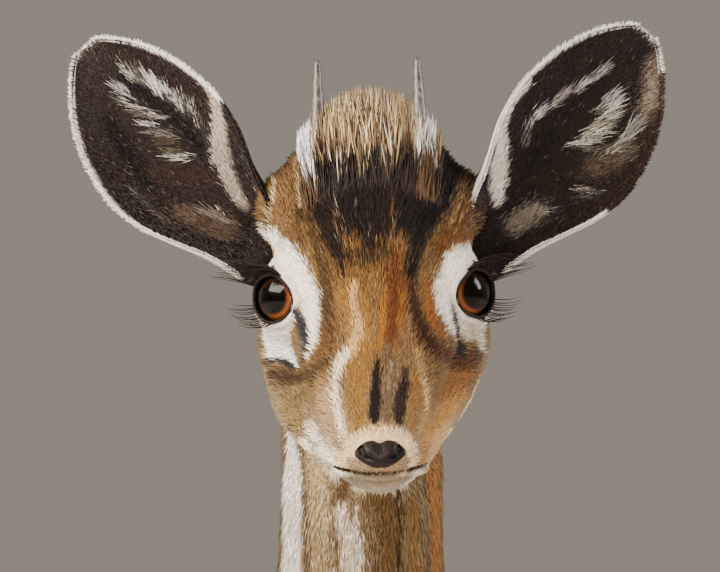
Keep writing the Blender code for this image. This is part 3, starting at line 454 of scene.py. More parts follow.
# The ears' markings, in the picture too. The animal's right ear is on the left of the picture.
EAR_MARKS = {
    "right": (
        ("#28211D", 14, (92, 60, 12), (86, 100, 9), (92, 130, 7)),
        ("#100C0B", 6, (120, 76, 4), (150, 98, 6), (185, 130, 8), (200, 150, 7)),
        ("#100C0B", 6, (108, 120, 6), (125, 152, 8), (150, 184, 7)),
        ("#2C1D18", 8, (150, 172, 6), (208, 178, 8)),
        ("#503E30", 6, (182, 214, 8), (206, 222, 9), (232, 230, 8)),
        ("#0E0A09", 4, (240, 232, 5), (246, 222, 5), (238, 244, 4)),
        ("#544C4A", 1.6, (130, 187, 1.4), (148, 206, 1.6), (166, 222, 1.4)),
        ("#A99C90", 3, (150, 44, 2), (170, 52, 3), (188, 63, 4), (204, 79, 6), (214, 98, 9), (219, 118, 10),
         (220, 140, 10), (221, 158, 10)),
        ("#96887A", 3, (221, 150, 8), (226, 172, 8), (236, 195, 6), (244, 206, 4)),
        ("#221915", 2.5, (231, 108, 2), (240, 130, 6), (247, 155, 9), (254, 180, 8), (260, 200, 5)),
        ("#645852", 1.5, (255, 186, 2), (257, 193, 2)),
    ),
    "left": (
        ("#796C5E", 8, (655, 60, 6), (655, 90, 8), (648, 118, 8)),
        ("#1D1612", 7, (536, 160, 8), (548, 140, 9), (566, 112, 8), (590, 92, 6), (612, 80, 5)),
        ("#1D1612", 6, (620, 64, 5), (640, 54, 6), (648, 46, 4)),
        ("#2A201A", 6, (540, 180, 7), (560, 198, 6)),
        ("#4E4034", 8, (596, 168, 11), (626, 152, 9)),
        ("#2A1B12", 3, (655, 112, 3), (648, 136, 4), (640, 160, 4), (628, 182, 5), (600, 206, 5),
         (560, 226, 4), (530, 240, 4)),
        ("#857868", 7, (536, 212, 10), (516, 226, 10)),
        ("#DCCFC0", 2.5, (528, 86, 4), (513, 100, 8), (502, 122, 12), (499, 142, 13), (498, 165, 12),
         (498, 185, 9), (498, 202, 5)),
    ),
}
# How much further the cup's rim stands out than the solid: at shares of the length, in millimetres
EAR_SPREAD = ((-0.2, 0.1, 0.3, 0.5, 0.7, 0.9, 1.0), (0, 1.2, 3.2, 4.0, 3.2, 1.8, 0.8))
# The edges of the ears: (colour, side of the cup, from and to as shares of the length)
EAR_EDGES = {
    "right": (("#F0EADF", -1, 0.42, 1.1), ("#D8CFC4", 1, -0.2, 1.1), ("#221915", -1, -0.2, 0.42)),
    "left": (("#F0EADF", -1, -0.2, 1.1), ("#2A1B14", 1, 0.3, 0.9), ("#E4DCD0", 1, -0.2, 0.3),
             ("#E4DCD0", 1, 0.9, 1.1)),
}
# Long hair in the ear's cup, as strokes in the picture: (from x, y, to x, y, width, colour)
EAR_STROKES = {
    "right": (
        (140, 84, 113, 58, 5, "#A59E95"), (147, 88, 126, 58, 5, "#5D5652"), (155, 94, 138, 62, 5, "#BEB8AF"),
        # The first stroke on this line is a painted highlight on the hair
        (162, 99, 147, 70, 5, "#DBD8D3"), (171, 102, 156, 72, 4, "#B5B2B3"),
        (170, 108, 160, 80, 5, "#524C48"), (181, 114, 169, 82, 5, "#C3BEB4"),
        (187, 119, 178, 87, 5, "#635E56"), (195, 127, 186, 92, 4, "#A9A396"),
        (201, 136, 195, 104, 4, "#524C46"), (206, 152, 202, 122, 4, "#3B3531"),
        (134, 98, 104, 76, 5, "#AFABA8"), (130, 106, 106, 92, 5, "#534D49"),
        (146, 108, 112, 98, 4, "#A49D94"), (154, 116, 122, 107, 4, "#554E45"),
        (168, 115, 132, 110, 4, "#A39B92"), (162, 126, 128, 119, 3, "#B7B1AA"),
        (180, 135, 138, 129, 4, "#726B62"), (184, 143, 144, 138, 7, "#453B30"),
        (188, 151, 150, 149, 7, "#544D3D"), (194, 155, 152, 156, 3, "#BAB5AB"),
        (186, 162, 156, 161, 5, "#39312B"), (198, 183, 156, 186, 6, "#312521"),
        (208, 188, 170, 194, 6, "#2B221D"), (244, 234, 178, 214, 9, "#4F4237"),
        # The second stroke on this line is a painted highlight on the hair
        (240, 226, 186, 206, 4, "#776B62"), (226, 222, 212, 203, 3, "#B2A69C"),
        (242, 240, 200, 236, 6, "#5F4F43"), (236, 216, 204, 218, 4, "#41332C"),
    ),
    "left": (
        (530, 124, 552, 99, 5, "#D6D0C8"), (527, 136, 534, 110, 6, "#B0A89E"),
        (524, 152, 531, 126, 6, "#79726C"), (545, 108, 575, 86, 5, "#ACA399"),
        (556, 100, 590, 76, 4, "#7F7670"), (572, 92, 602, 70, 4, "#BEB6AC"),
        (588, 82, 620, 57, 4, "#A6A09A"), (598, 108, 632, 82, 5, "#9F9993"),
        (604, 114, 636, 90, 5, "#D1CCC5"), (590, 110, 628, 102, 4, "#7A756A"),
        (594, 120, 632, 107, 6, "#B6B09F"), (584, 127, 628, 117, 6, "#968E7C"),
        (578, 134, 622, 126, 5, "#C4BFAE"), (566, 142, 612, 134, 5, "#CCC6B6"),
        (574, 149, 606, 144, 6, "#635D52"), (598, 157, 640, 140, 6, "#71685E"),
        (608, 152, 650, 122, 5, "#A79F93"), (622, 142, 655, 106, 5, "#8F8882"),
        (618, 163, 646, 143, 6, "#5C544B"), (550, 168, 572, 186, 2, "#ADA69E"),
        (570, 186, 612, 192, 3, "#999084"), (572, 194, 604, 198, 6, "#584F47"),
        (520, 206, 560, 213, 5, "#9F9791"), (508, 216, 546, 222, 6, "#706862"),
        (502, 228, 532, 229, 6, "#7D7670"), (500, 238, 522, 241, 5, "#554D49"),
        (560, 172, 600, 178, 5, "#352D29"),
    ),
}

# Crown's tuft, by rows from the brow back: (y in the head, length, lean backwards)
CREST_ROWS = ((-4, 8, 1.5), (3, 14, 0.85), (10, 20, 0.5), (17, 23.5, 0.34), (24, 22.5, 0.26), (31, 19, 0.22),
              (38, 15.5, 0.24), (46, 12, 0.3))
CREST_HALF_WIDTH = 19.0
CREST_FAN = 0.006
CREST_EDGE = 146        # picture height at which the dark cap gives way to the pale tips
CREST_HIGHLIGHT_REACH = (162, 146)    # and how far down the painted highlights on its flanks reach, on the right side and on the left

# How much further the coat stands out, at heights: (z, on the right side, on the left side)
FULLER = ((400, 0, 0), (411, 0.6, 0.6), (423, 0.6, 0.6), (430, 1.2, 0), (435, 1.6, 0), (443, 1.4, 0.3),
          (449, 1.4, 0.8), (456, 1.2, 1.0), (464, 0.5, 0.5), (470, 0, 0))
FULLER_LIFT = 1.3       # how much the hair grows for each millimetre that it has to stand out

# How many tufts each piece of the coat has
TUFTS = {"face_fur_left": 31000, "face_fur_right": 31000, "head_fur": 24000, "neck_fur": 33000,
         "shoulder_fur": 25000, "back_fur": 27000, "leg_fur": 26000, "tail_fur": 3000}
CREST_HAIRS = (9500, 1200)
EAR_HAIRS = (18000, 2200)       # on one ear
EAR_STREAKS = (14, 2)           # for each pixel of a stroke's width in the picture

# The ear's hair: at the edge of the cup and elsewhere, inside it and behind it
EAR_HAIR_LONG = (1.5, 2.8)
EAR_HAIR_THICK = (0.32, 0.4)
EAR_HAIR_RISE = (12.0, 8.0)
EAR_FRINGE_PART = 6             # one hair in so many stands in the fringe round the rim
EAR_FRINGE_ACROSS = (0.955, 0.995)
EAR_FRINGE_LONG = 2.0
STREAK_THICK = 0.23
STREAK_RISE = 8.0

# Dark and pale marks that follow the eyes, and painted shade along the crease of the mouth: (how far they
# reach, softness, colour)
EYE_RING = (1.95, 0.3, "#E9DECC")
LID_DARK = (1.13, 0.07, "#0D0A09")
MOUTH_CREASE_SHADE = (0.75, 0.3, "#35241A")
LIPS_BEHIND = -53       # how far back along the head the painted shade of the mouth reaches

# Grizzled hair: share of dark hairs and of pale ones, the dark ones' shade, how pale, and the pale colour
GRIZZLED = 0.2
GRIZZLE_DARK = 0.5
GRIZZLE_PALE = (0.45, "#A8916C")
TUFT_VARIETY = 0.08

# Hair about the eyes: where it starts to turn away, how much, and its length from the lids outwards
EYE_HAIR_TURNS = 2.3
EYE_HAIR_OUT = 0.25
EYE_HAIR_SHORT = (0.75, 1.2, 0.35)
CHIN_SHORTER = 0.65
NO_HAIR_LIDS = 1.12
NO_HAIR_LIPS = 0.6

# Where the coat is parted into pieces, in millimetres
BACK_FROM = 40          # back from shoulders, along the body
FACE_UP_TO = 10         # face from the rest of the head, along the head
LEGS_BELOW = (234, 246)     # between the legs, and on the flank
FLANK_FROM = 22
TAIL_FROM = (209, 285)      # along the body, and up

# The crest's colours: pale tips with their shares, dark roots, and the flanks' tips, painted white as
# highlights, and their roots
CREST_PALE = {"#C0A87E": 0.26, "#927A54": 0.26, "#6A5540": 0.22, "#46352A": 0.16, "#E2D4B8": 0.10}
CREST_DARK = ("#1D130D", "#130D0A", "#281A11")
CREST_FLANK_HIGHLIGHT = ("#F6F1E8", "#4A3724")
CREST_THICK = 0.6

# A tuft: how deep it is rooted, how much less it rises at its tip, and its shades from root to tip
ROOTED = 0.25
TIP_FLATTER = 0.55
SHADES = (0.62, 0.92, 1.02, 1.14)
# By rings about a tuft: its shares of the length, and its points' places on the unwrap
TUFT_SHARES = {1: (0.0, 0.40, 1.0), 2: (0.0, 0.28, 0.66, 1.0)}
TUFT_SWELL = (1.0, 0.72)
TUFT_SPOTS = {
    1: ((0.5, 0), (0, 0.5), (0.5, 0.4), (1, 0.5), (0.5, 1)),
    2: ((0.5, 0), (0, 0.3), (0.5, 0.25), (1, 0.3), (0, 0.65), (0.5, 0.6), (1, 0.65), (0.5, 1)),
}
TUFT_PATCH = 0.003      # how wide a tuft is there

# How the pieces of the coat are unrolled: (frame, a point on the axis, along it, where the turn is halfway)
UNROLLED = {
    "face_fur_left": (HEAD, (0, 0, -8), (0, 1, 0), (0, 0, -1)),
    "face_fur_right": (HEAD, (0, 0, -8), (0, 1, 0), (0, 0, -1)),
    "head_fur": (HEAD, (0, 0, -8), (0, 1, 0), (0, 0, -1)),
    "crest": (HEAD, (0, 10, -8), (0, 1, 0), (0, 0, -1)),
    "neck_fur": (BODY, (2, -112, 390), (0, -0.42, 0.9), (0, 1, 0.4)),
    "shoulder_fur": (BODY, (0, 0, 306), (0, 1, 0), (0, 0, -1)),
    "back_fur": (BODY, (0, 0, 306), (0, 1, 0), (0, 0, -1)),
    "tail_fur": (BODY, (0, 220, 330), (0, 0.4, -0.9), (0, -1, 0)),
}

# Lashes: (first and last angle about the eye, how many, length, lift)
LASHES = ((20, 118, 40, 13.5, 0.14), (-96, -28, 14, 8.5, -0.10))
LASH_RADIUS = 0.24

# Lamps: (name, place, size across and up, watts, colour), in metres
LAMPS = (
    ("key", (-1.75, -1.0, 1.88), (2.6, 0.9), 210, "#FFF6EA"),
    ("fill", (0.0, -2.6, 0.5), (0.8, 2.0), 70, "#FFF8F0"),
    ("side", (1.85, -0.05, 1.5), (0.7, 1.0), 50, "#F8F7FF"),
)
LIT_AT = (0.0, -0.19, 0.45)
FLOOR_RADIUS = 7.0
BACKDROP = ("#A79D8F", 0.75)    # colour and strength
CAMERA_AWAY = 2.5
SENSOR = 36.0                   # width, in millimetres


def linear(hex_colour):
    """An sRGB hex value as linear red, green and blue."""
    parts = np.array([int(hex_colour[i:i + 2], 16) for i in (1, 3, 5)]) / 255
    return np.where(parts <= 0.04045, parts / 12.92, ((parts + 0.055) / 1.055) ** 2.4)


def rgba(hex_colour):
    return (*linear(hex_colour), 1.0)


def blend(colours, other, share):
    """Colours with a share of another laid over them."""
    return colours * (1 - share) + other * share


# Making meshes, in millimetres

def object_of(name, mesh):
    made = bpy.data.objects.new(name, mesh)
    bpy.context.scene.collection.objects.link(made)
    return made


def object_from(name, points, faces):
    """A closed mesh from points, with its faces turned outwards."""
    mesh = bpy.data.meshes.new(name)
    mesh.from_pydata([Vector(p) * MM for p in points], [], faces)
    shape = bmesh.new()
    shape.from_mesh(mesh)
    bmesh.ops.recalc_face_normals(shape, faces=shape.faces)
    if shape.calc_volume(signed=True) < 0:
        bmesh.ops.reverse_faces(shape, faces=shape.faces)
    shape.to_mesh(mesh)
    shape.free()
    return object_of(name, mesh)


def triangle_mesh(name, points, triangles):
    """An object from arrays of points and of triangles."""
    mesh = bpy.data.meshes.new(name)
    mesh.vertices.add(len(points))
    mesh.vertices.foreach_set("co", (points * MM).astype(np.float32).ravel())
    mesh.loops.add(triangles.size)
    mesh.loops.foreach_set("vertex_index", triangles.astype(np.int32).ravel())
    mesh.polygons.add(len(triangles))
    mesh.polygons.foreach_set("loop_start", np.arange(0, triangles.size, 3, dtype=np.int32))
    mesh.update(calc_edges=True)
    mesh.shade_smooth()
    return object_of(name, mesh)


def points_of(mesh):
    """A mesh's points and their normals, as arrays."""
    points = np.empty(len(mesh.vertices) * 3, np.float32)
    mesh.vertices.foreach_get("co", points)
    normals = np.empty(len(mesh.vertices) * 3, np.float32)
    mesh.vertex_normals.foreach_get("vector", normals)
    return points.reshape(-1, 3).astype(float) / MM, normals.reshape(-1, 3).astype(float)


def move_points(mesh, points):
    mesh.vertices.foreach_set("co", (points * MM).astype(np.float32).ravel())
    mesh.update()


def tint(mesh, colours):
    """Stores a colour for each point."""
    layer = mesh.color_attributes.new("coat_colour", "FLOAT_COLOR", "POINT")
    full = np.ones((len(colours), 4), np.float32)
    full[:, :3] = colours
    layer.data.foreach_set("color", full.ravel())


def measure(mesh, name, values):
    """Stores a number for each point."""
    layer = mesh.attributes.new(name, "FLOAT", "POINT")
    layer.data.foreach_set("value", np.asarray(values, np.float32))


def apply_modifiers(obj):
    graph = bpy.context.evaluated_depsgraph_get()
    mesh = bpy.data.meshes.new_from_object(obj.evaluated_get(graph))
    obj.modifiers.clear()
    old = obj.data
    obj.data = mesh
    bpy.data.meshes.remove(old)
    return obj


def cut(target, cutter):
    """Takes the cutter's space out of the target, and removes the cutter."""
    modifier = target.modifiers.new("cut", "BOOLEAN")
    modifier.operation = "DIFFERENCE"
    modifier.solver = "EXACT"
    modifier.object = cutter
    apply_modifiers(target)
    bpy.data.objects.remove(cutter)


def smooth_rows(rows, count):
    """Rows of numbers read at even steps of length from a smooth curve through the given rows."""
    given = np.array(rows, float)
    steps = np.linalg.norm(np.diff(given[:, :3], axis=0), axis=1)
    at = np.concatenate([[0], np.cumsum(steps)])
    slopes = np.gradient(given, at, axis=0)
    wanted = np.linspace(0, at[-1], count)
    index = np.clip(np.searchsorted(at, wanted, side="right") - 1, 0, len(at) - 2)
    length = (at[index + 1] - at[index])[:, None]
    t = (wanted - at[index])[:, None] / length
    return (
        given[index] * (2 * t**3 - 3 * t**2 + 1)
        + given[index + 1] * (3 * t**2 - 2 * t**3)
        + slopes[index] * length * (t**3 - 2 * t**2 + t)
        + slopes[index + 1] * length * (t**3 - t**2)
    )


def ringed(name, rings):
    """A closed skin over rings of points, capped at both ends."""
    sides = len(rings[0])
    points = [p for ring in rings for p in ring]
    faces = [tuple(range(sides)), tuple(range(len(points) - sides, len(points)))]
    for row in range(len(rings) - 1):
        for k in range(sides):
            a = row * sides + k
            b = row * sides + (k + 1) % sides
            faces.append((a, b, b + sides, a + sides))
    return object_from(name, points, faces)


def turns(count):
    """Angles at even steps round a circle."""
    return [2 * math.pi * k / count for k in range(count)]


def oval(centre, across, up, width, depth, sides):
    """Points round an oval."""
    return [centre + across * (width * math.cos(a)) + up * (depth * math.sin(a)) for a in turns(sides)]


def loft(name, rows, place=BODY, step=4.0, sides=28):
    """A tube through stations, its rings square to the path and its width along X."""
    length = np.linalg.norm(np.diff(np.array(rows, float)[:, :3], axis=0), axis=1).sum()
    table = smooth_rows(rows, max(8, int(length / step)))
    tangents = np.gradient(table[:, :3], axis=0)
    rings = []
    for centre, tangent, (width, depth) in zip(table[:, :3], tangents, table[:, 3:]):
        along = Vector(tangent).normalized()
        across = (Vector((1, 0, 0)) - along * along.x).normalized()
        ring = oval(Vector(centre), across, along.cross(across), width, depth, sides)
        rings.append([place @ point for point in ring])
    return ringed(name, rings)


def ellipsoid(name, centre, radii, place=BODY, segments=28, rings=16):
    mesh = bpy.data.meshes.new(name)
    shape = bmesh.new()
    to_metres = Matrix.Diagonal((MM, MM, MM, 1)) @ place @ Matrix.Translation(centre)
    bmesh.ops.create_uvsphere(
        shape,
        u_segments=segments,
        v_segments=rings,
        radius=1,
        matrix=to_metres @ Matrix.Diagonal((*radii, 1)),
    )
    shape.to_mesh(mesh)
    shape.free()
    return object_of(name, mesh)


def tube(name, path, radii, sides=8, closed=False):
    """A round strand along a path, tapering by its radii."""
    rings = []
    count = len(path)
    for i, (centre, radius) in enumerate(zip(path, radii)):
        ahead = path[(i + 1) % count] if closed else path[min(i + 1, count - 1)]
        behind = path[i - 1] if closed or i else path[0]
        along = (ahead - behind).normalized()
        if rings:
            across = (across - along * across.dot(along)).normalized()
        else:
            across = along.orthogonal().normalized()
        rings.append(oval(centre, across, along.cross(across), radius, radius, sides))
    if not closed:
        return ringed(name, rings)
    nearest = min(range(sides), key=lambda k: (rings[-1][0] - rings[0][k]).length)
    faces = []
    for row in range(count):
        here = row * sides
        ahead = (row + 1) % count * sides
        turned = nearest if row == count - 1 else 0
        for k in range(sides):
            after = (k + 1) % sides
            across_from = ahead + (k + turned) % sides
            faces.append((here + k, here + after, ahead + (k + 1 + turned) % sides, across_from))
    return object_from(name, [p for ring in rings for p in ring], faces)


def joined(name, pieces):
    """One mesh that holds all the pieces, which are removed."""
    shape = bmesh.new()
    for piece in pieces:
        shape.from_mesh(piece.data)
    mesh = bpy.data.meshes.new(name)
    shape.to_mesh(mesh)
    shape.free()
    for piece in pieces:
        bpy.data.objects.remove(piece)
    return object_of(name, mesh)


def mirrored(centre, side):
    return (centre[0] * side, centre[1], centre[2])


def both_sides(forms):
    """Each form once if it lies on the middle plane, else on both sides."""
    for centre, radii in forms:
        for side in (1, -1) if centre[0] else (1,):
            yield mirrored(centre, side), radii


def leg_rows(pair, side_name):
    """The stations of one leg, its foot moved along by the stride."""
    side = SIDES[side_name]
    rows = []
    for x, y, z, width, depth in LEG_ROWS[pair]:
        share = min(1.0, max(0.0, (STRIDE_FROM - z) / (STRIDE_FROM - HOOF_TOP)))
        rows.append((x * side, y + STRIDE[pair, side_name] * share, z, width, depth))
    return rows


# Frames and fields over the body, for arrays of points

def to_frame(place, points):
    """Points read in a frame."""
    inverse = np.array(place.inverted())
    return points @ inverse[:3, :3].T + inverse[:3, 3]


def from_frame(place, points):
    """Points of a frame, read in the model."""
    turn = np.array(place)
    return points @ turn[:3, :3].T + turn[:3, 3]


def beyond(cut_plane, points):
    """How far points lie on the head's side of a cut."""
    place, normal = cut_plane
    normal = np.array(normal) / np.linalg.norm(normal)
    return (points - np.array(place)) @ normal


def softness(points):
    """How much the welded flesh is smoothed: less on limbs and head."""
    trunk = np.clip((points[:, 2] - FIRM_HEIGHT + 30) / 60, 0.12, 1)
    face = np.clip((to_frame(HEAD, points)[:, 1] - 10) / 60, 0, 1)
    is_head = (points[:, 2] > NECK_TOP[0][2] - 60) & (points[:, 1] < NECK_TOP[0][1] + 30)
    return np.where(is_head, 0.3 + 0.5 * face, trunk)


def coat_table():
    """The coat map as arrays, with every sideways row mirrored."""
    rows = []
    for place, centre, lie, length, thickness, rise, colour in COAT:
        where = HEAD if place == "head" else BODY
        for side in (1, -1) if centre[0] else (1,):
            rows.append((
                *(where @ Vector(mirrored(centre, side))),
                *(where.to_3x3() @ Vector(mirrored(lie, side))),
                length, thickness, rise, *linear(colour),
            ))
    return np.array(rows)


def coat_at(points):
    """The coat map's values at points, blended from the rows nearest to them."""
    table = coat_table()
    values = np.empty((len(points), table.shape[1] - 3))
    for start in range(0, len(points), 20000):
        part = points[start:start + 20000]
        square = ((part[:, None, :] - table[None, :, :3]) ** 2).sum(axis=2)
        weight = 1 / (square + 25) ** 2.2
        values[start:start + 20000] = (weight @ table[:, 3:]) / weight.sum(axis=1, keepdims=True)
    return values


def eye_frame(side, outward=EYE_OUTWARD):
    """The eye's own frame: +Z along its axis, +X along the slit of the lids."""
    centre = HEAD @ Vector(mirrored(EYE_CENTRE, side))
    away = math.radians(outward)
    axis = CARRIAGE @ Vector((side * math.sin(away), -math.cos(away), 0.03))
    across = Vector((0, 0, 1)).cross(axis).normalized()
    upright = axis.cross(across).normalized()
    turn = Matrix((across, upright, axis.normalized())).transposed().to_4x4()
    return Matrix.Translation(centre) @ turn @ Matrix.Rotation(math.radians(LID_TILT * side), 4, "Z")


def almond(angle, grow=0.0):
    """A point on the edge of the lids, seen along the eye's axis."""
    long, high = LID_OPENING[0] + grow, LID_OPENING[1] + grow
    return long * math.cos(angle), high * math.sin(angle) * (1 - LID_PINCH * abs(math.cos(angle)))


def lid_reach(points, side):
    """How far points are from the eye's axis, where 1 is the edge of the lids."""
    local = to_frame(eye_frame(side), points)
    away = np.hypot(local[:, 0], local[:, 1]) + 1e-6
    long, high = LID_OPENING
    high = high * (1 - LID_PINCH * np.abs(local[:, 0]) / away)
    reach = np.hypot(local[:, 0] / long, local[:, 1] / high)
    near = np.linalg.norm(local, axis=1) < LID_RADIUS + 6
    return np.where(near & (local[:, 2] > 0), reach, 9.0), local


# The skin

def subdivided(skin, chosen):
    """The skin with the faces around chosen points split in four."""
    shape = bmesh.new()
    shape.from_mesh(skin.data)
    shape.verts.ensure_lookup_table()
    faces = [face for face in shape.faces if all(chosen[vert.index] for vert in face.verts)]
    edges = list({edge for face in faces for edge in face.edges})
    bmesh.ops.subdivide_edges(shape, edges=edges, cuts=1, use_grid_fill=True)
    shape.to_mesh(skin.data)
    shape.free()


def smoothed(skin, weight, rounds):
    """The skin relaxed where the weight says."""
    group = skin.vertex_groups.new(name="soft")
    for index in np.nonzero(weight > 0.01)[0]:
        group.add([int(index)], float(weight[index]), "REPLACE")
    modifier = skin.modifiers.new("smooth", "SMOOTH")
    modifier.factor = 0.5
    modifier.iterations = rounds
    modifier.vertex_group = group.name
    apply_modifiers(skin)
    skin.vertex_groups.clear()


def eye_distance(points):
    """How far points are from the nearer eye's middle."""
    middles = [np.array(HEAD @ Vector(mirrored(EYE_CENTRE, side))) for side in SIDES.values()]
    return np.minimum(*(np.linalg.norm(points - middle, axis=1) for middle in middles))


def line_distance(y, z, line):
    """How far (y, z) pairs lie from a broken line."""
    nearest = np.full(len(y), 1e9)
    for (y0, z0), (y1, z1) in zip(line, line[1:]):
        span = (y1 - y0) ** 2 + (z1 - z0) ** 2
        t = np.clip(((y - y0) * (y1 - y0) + (z - z0) * (z1 - z0)) / span, 0, 1)
        nearest = np.minimum(nearest, np.hypot(y - y0 - t * (y1 - y0), z - z0 - t * (z1 - z0)))
    return nearest


def at_mouth(points):
    """Points in the head's frame, their distance from the line of the mouth, and which are on the head."""
    head = to_frame(HEAD, points)
    return head, line_distance(head[:, 1], head[:, 2], MOUTH_LINE), eye_distance(points) < HEAD_REACH


def make_skin():
    """The whole flesh as one surface, lower than the solids by the depth of the coat."""
    pieces = [
        loft("torso_core", TORSO),
        loft("neck_core", NECK),
        loft("tail_core", TAIL, sides=20),
        loft("cranium", CRANIUM, HEAD),
        loft("mandible", MANDIBLE, HEAD),
    ]
    pieces += [loft("limb", leg_rows(pair, side), sides=24) for pair, side in STRIDE]
    pieces += [ellipsoid("form", c, r) for c, r in both_sides(BODY_FORMS)]
    pieces += [ellipsoid("form", c, r, HEAD) for c, r in both_sides(HEAD_FORMS)]
    skin = joined("skin", pieces)
    remesh = skin.modifiers.new("weld", "REMESH")
    remesh.mode = "VOXEL"
    remesh.voxel_size = VOXEL * MM
    apply_modifiers(skin)
    points, _ = points_of(skin.data)
    smoothed(skin, softness(points), SMOOTHING)

    points, _ = points_of(skin.data)
    subdivided(skin, np.linalg.norm(to_frame(HEAD, points) - HEAD_MIDDLE, axis=1) < HEAD_REACH - 2)
    points, _ = points_of(skin.data)
    fine = (to_frame(HEAD, points)[:, 1] < -30) & (eye_distance(points) < 70) | (eye_distance(points) < 17)
    subdivided(skin, fine)
    points, _ = points_of(skin.data)
    near = np.clip((HEAD_REACH - np.linalg.norm(to_frame(HEAD, points) - HEAD_MIDDLE, axis=1)) / 8, 0, 1)
    smoothed(skin, near, 6)
    sculpt(skin)
    return skin


def fold(distance, depth, middle, breadth):
    """A rounded furrow along a line, or a ridge."""
    return depth * np.exp(-((distance - middle) / breadth) ** 2)


def sculpt(skin):
    """Lowers the skin under its coat, and adds mouth, gland, lid folds and the wings of the nose."""
    points, normals = points_of(skin.data)
    coat = coat_at(points)
    depth = COAT_SINK * coat[:, 3] * np.sin(np.radians(coat[:, 5]))
    depth = np.where(eye_distance(points) < LID_RADIUS + 3, LID_SINK, depth)
    local, mouth, on_head = at_mouth(points)
    front = np.clip((-28 - local[:, 1]) / 6, 0, 1) * on_head
    depth = depth + front * sum(fold(mouth, *row) for row in MOUTH_FOLDS)
    for side in SIDES.values():
        reach, _ = lid_reach(points, side)
        for row in LID_FOLDS:
            depth = depth + fold(reach, *row)
        for centre, radii, deep in FACE_HOLLOWS:
            away = (local - mirrored(centre, side)) / radii
            depth = depth + deep * np.exp(-(away ** 2).sum(axis=1))
    move_points(skin.data, points - normals * depth[:, None])


def lid_cutter(side):
    """The almond between the lids, widening outwards from inside the eyeball."""
    place = eye_frame(side)
    rings = []
    for distance, share in ((6.0, 0.92), (10.5, 1.0), (17.0, 1.3)):
        edge = [almond(angle) for angle in turns(64)]
        rings.append([place @ Vector((x * share, y * share, distance)) for x, y in edge])
    return ringed("lid_cutter", rings)


def nose_shape(name, grow=0.0, segments=56, rings=36):
    """The heart-shaped pad, round above and pinched below."""
    pad = ellipsoid(name, (0, 0, 0), [r + grow for r in NOSE_RADII], segments=segments, rings=rings)
    points, _ = points_of(pad.data)
    down = np.clip(-points[:, 2] / NOSE_RADII[2], 0, 1)
    points[:, 0] *= 1 - NOSE_TAPER * down
    cleft = np.exp(-(points[:, 0] / 1.6) ** 2) * np.clip(points[:, 2] / NOSE_RADII[2], -0.2, 1)
    points[:, 2] -= 0.9 * cleft
    move_points(pad.data, from_frame(HEAD @ Matrix.Translation(NOSE_CENTRE), points))
    return pad


# Markings

def in_picture(x, y):
    """Where a place in the picture lies across and up, at the eyes."""
    return HEAD_SIDE + (x - EYES_AT[0]) * PIXEL, EYE_HEIGHT + (EYES_AT[1] - y) * PIXEL


def tree_of(piece):
    shape = bmesh.new()
    shape.from_mesh(piece.data)
    tree = BVHTree.FromBMesh(shape)
    shape.free()
    return tree


def met_by(tree, start, way):
    """The point and the normal that a look from somewhere meets, or two Nones."""
    hit, normal, _, _ = tree.ray_cast(start * MM, way)
    return (hit / MM, normal) if hit else (None, None)


def seen_at(tree, x, y):
    """The point and the normal that a place in the picture shows, straight ahead."""
    across, up = in_picture(x, y)
    return met_by(tree, Vector((across, IN_FRONT, up)), Vector((0, 1, 0)))


def strokes_on(tree, rows):
    """Brush strokes laid on a surface from straight ahead: (colour, softness, dabs of x, y, z, radius)."""
    laid = []
    for colour, soft, *stations in rows:
        dabs = []
        for (x0, y0, r0), (x1, y1, r1) in zip(stations, stations[1:]):
            steps = max(2, int(math.hypot(x1 - x0, y1 - y0) / 2))
            for i in range(steps + 1):
                t = i / steps
                spot, _ = seen_at(tree, x0 + (x1 - x0) * t, y0 + (y1 - y0) * t)
                if spot is not None:
                    dabs.append((*spot, (r0 + (r1 - r0) * t) * PIXEL))
        if dabs:
            laid.append((linear(colour), soft * PIXEL, np.array(dabs)))
    return laid


def painted(points, ground, strokes, jitter):
    """The ground's colours with every stroke laid over them."""
    colours = ground.copy()
    for colour, soft, dabs in strokes:
        low = dabs[:, :3].min(axis=0) - dabs[:, 3].max() - 2 * soft
        high = dabs[:, :3].max(axis=0) + dabs[:, 3].max() + 2 * soft
        inside = np.nonzero(((points > low) & (points < high)).all(axis=1))[0]
        nearest = np.full(len(inside), 1e9)
        for dab in dabs:
            nearest = np.minimum(nearest, np.sqrt(((points[inside] - dab[:3]) ** 2).sum(axis=1)) - dab[3])
        t = np.clip(0.5 - (nearest + jitter[inside] * soft * 0.6) / (2 * soft), 0, 1)
        share = (t * t * (3 - 2 * t))[:, None]
        colours[inside] = blend(colours[inside], colour, share)
    return colours


def markings(points, ground, strokes, jitter):
    """Ground colours with the pale ring about each eye, the head's strokes, the dark lids, and painted shade
    along the crease of the mouth.
    """
    colours = ground
    for side in SIDES.values():
        reach, _ = lid_reach(points, side)
        ring = 0.9 * np.clip((EYE_RING[0] - reach + 0.12 * jitter) / EYE_RING[1], 0, 1)[:, None]
        colours = blend(colours, linear(EYE_RING[2]), ring)
    colours = painted(points, colours, strokes, jitter)
    for side in SIDES.values():
        reach, local = lid_reach(points, side)
        above = np.clip(local[:, 1] / 8, 0, 1) * np.clip(0.7 + side * local[:, 0] / 8, 0, 1)
        dark = np.clip((LID_DARK[0] + 0.3 * above - reach) / LID_DARK[1], 0, 1)[:, None]
        colours = blend(colours, linear(LID_DARK[2]), dark)
    head, mouth, on_head = at_mouth(points)
    # Painted shade: the crease of the mouth is darkened along its line, in front of LIPS_BEHIND
    lips = np.clip((MOUTH_CREASE_SHADE[0] - mouth) / MOUTH_CREASE_SHADE[1], 0, 1)
    lips = lips * np.clip((LIPS_BEHIND - head[:, 1]) / 5, 0, 1) * on_head
    return blend(colours, linear(MOUTH_CREASE_SHADE[2]), lips[:, None])


# The coat

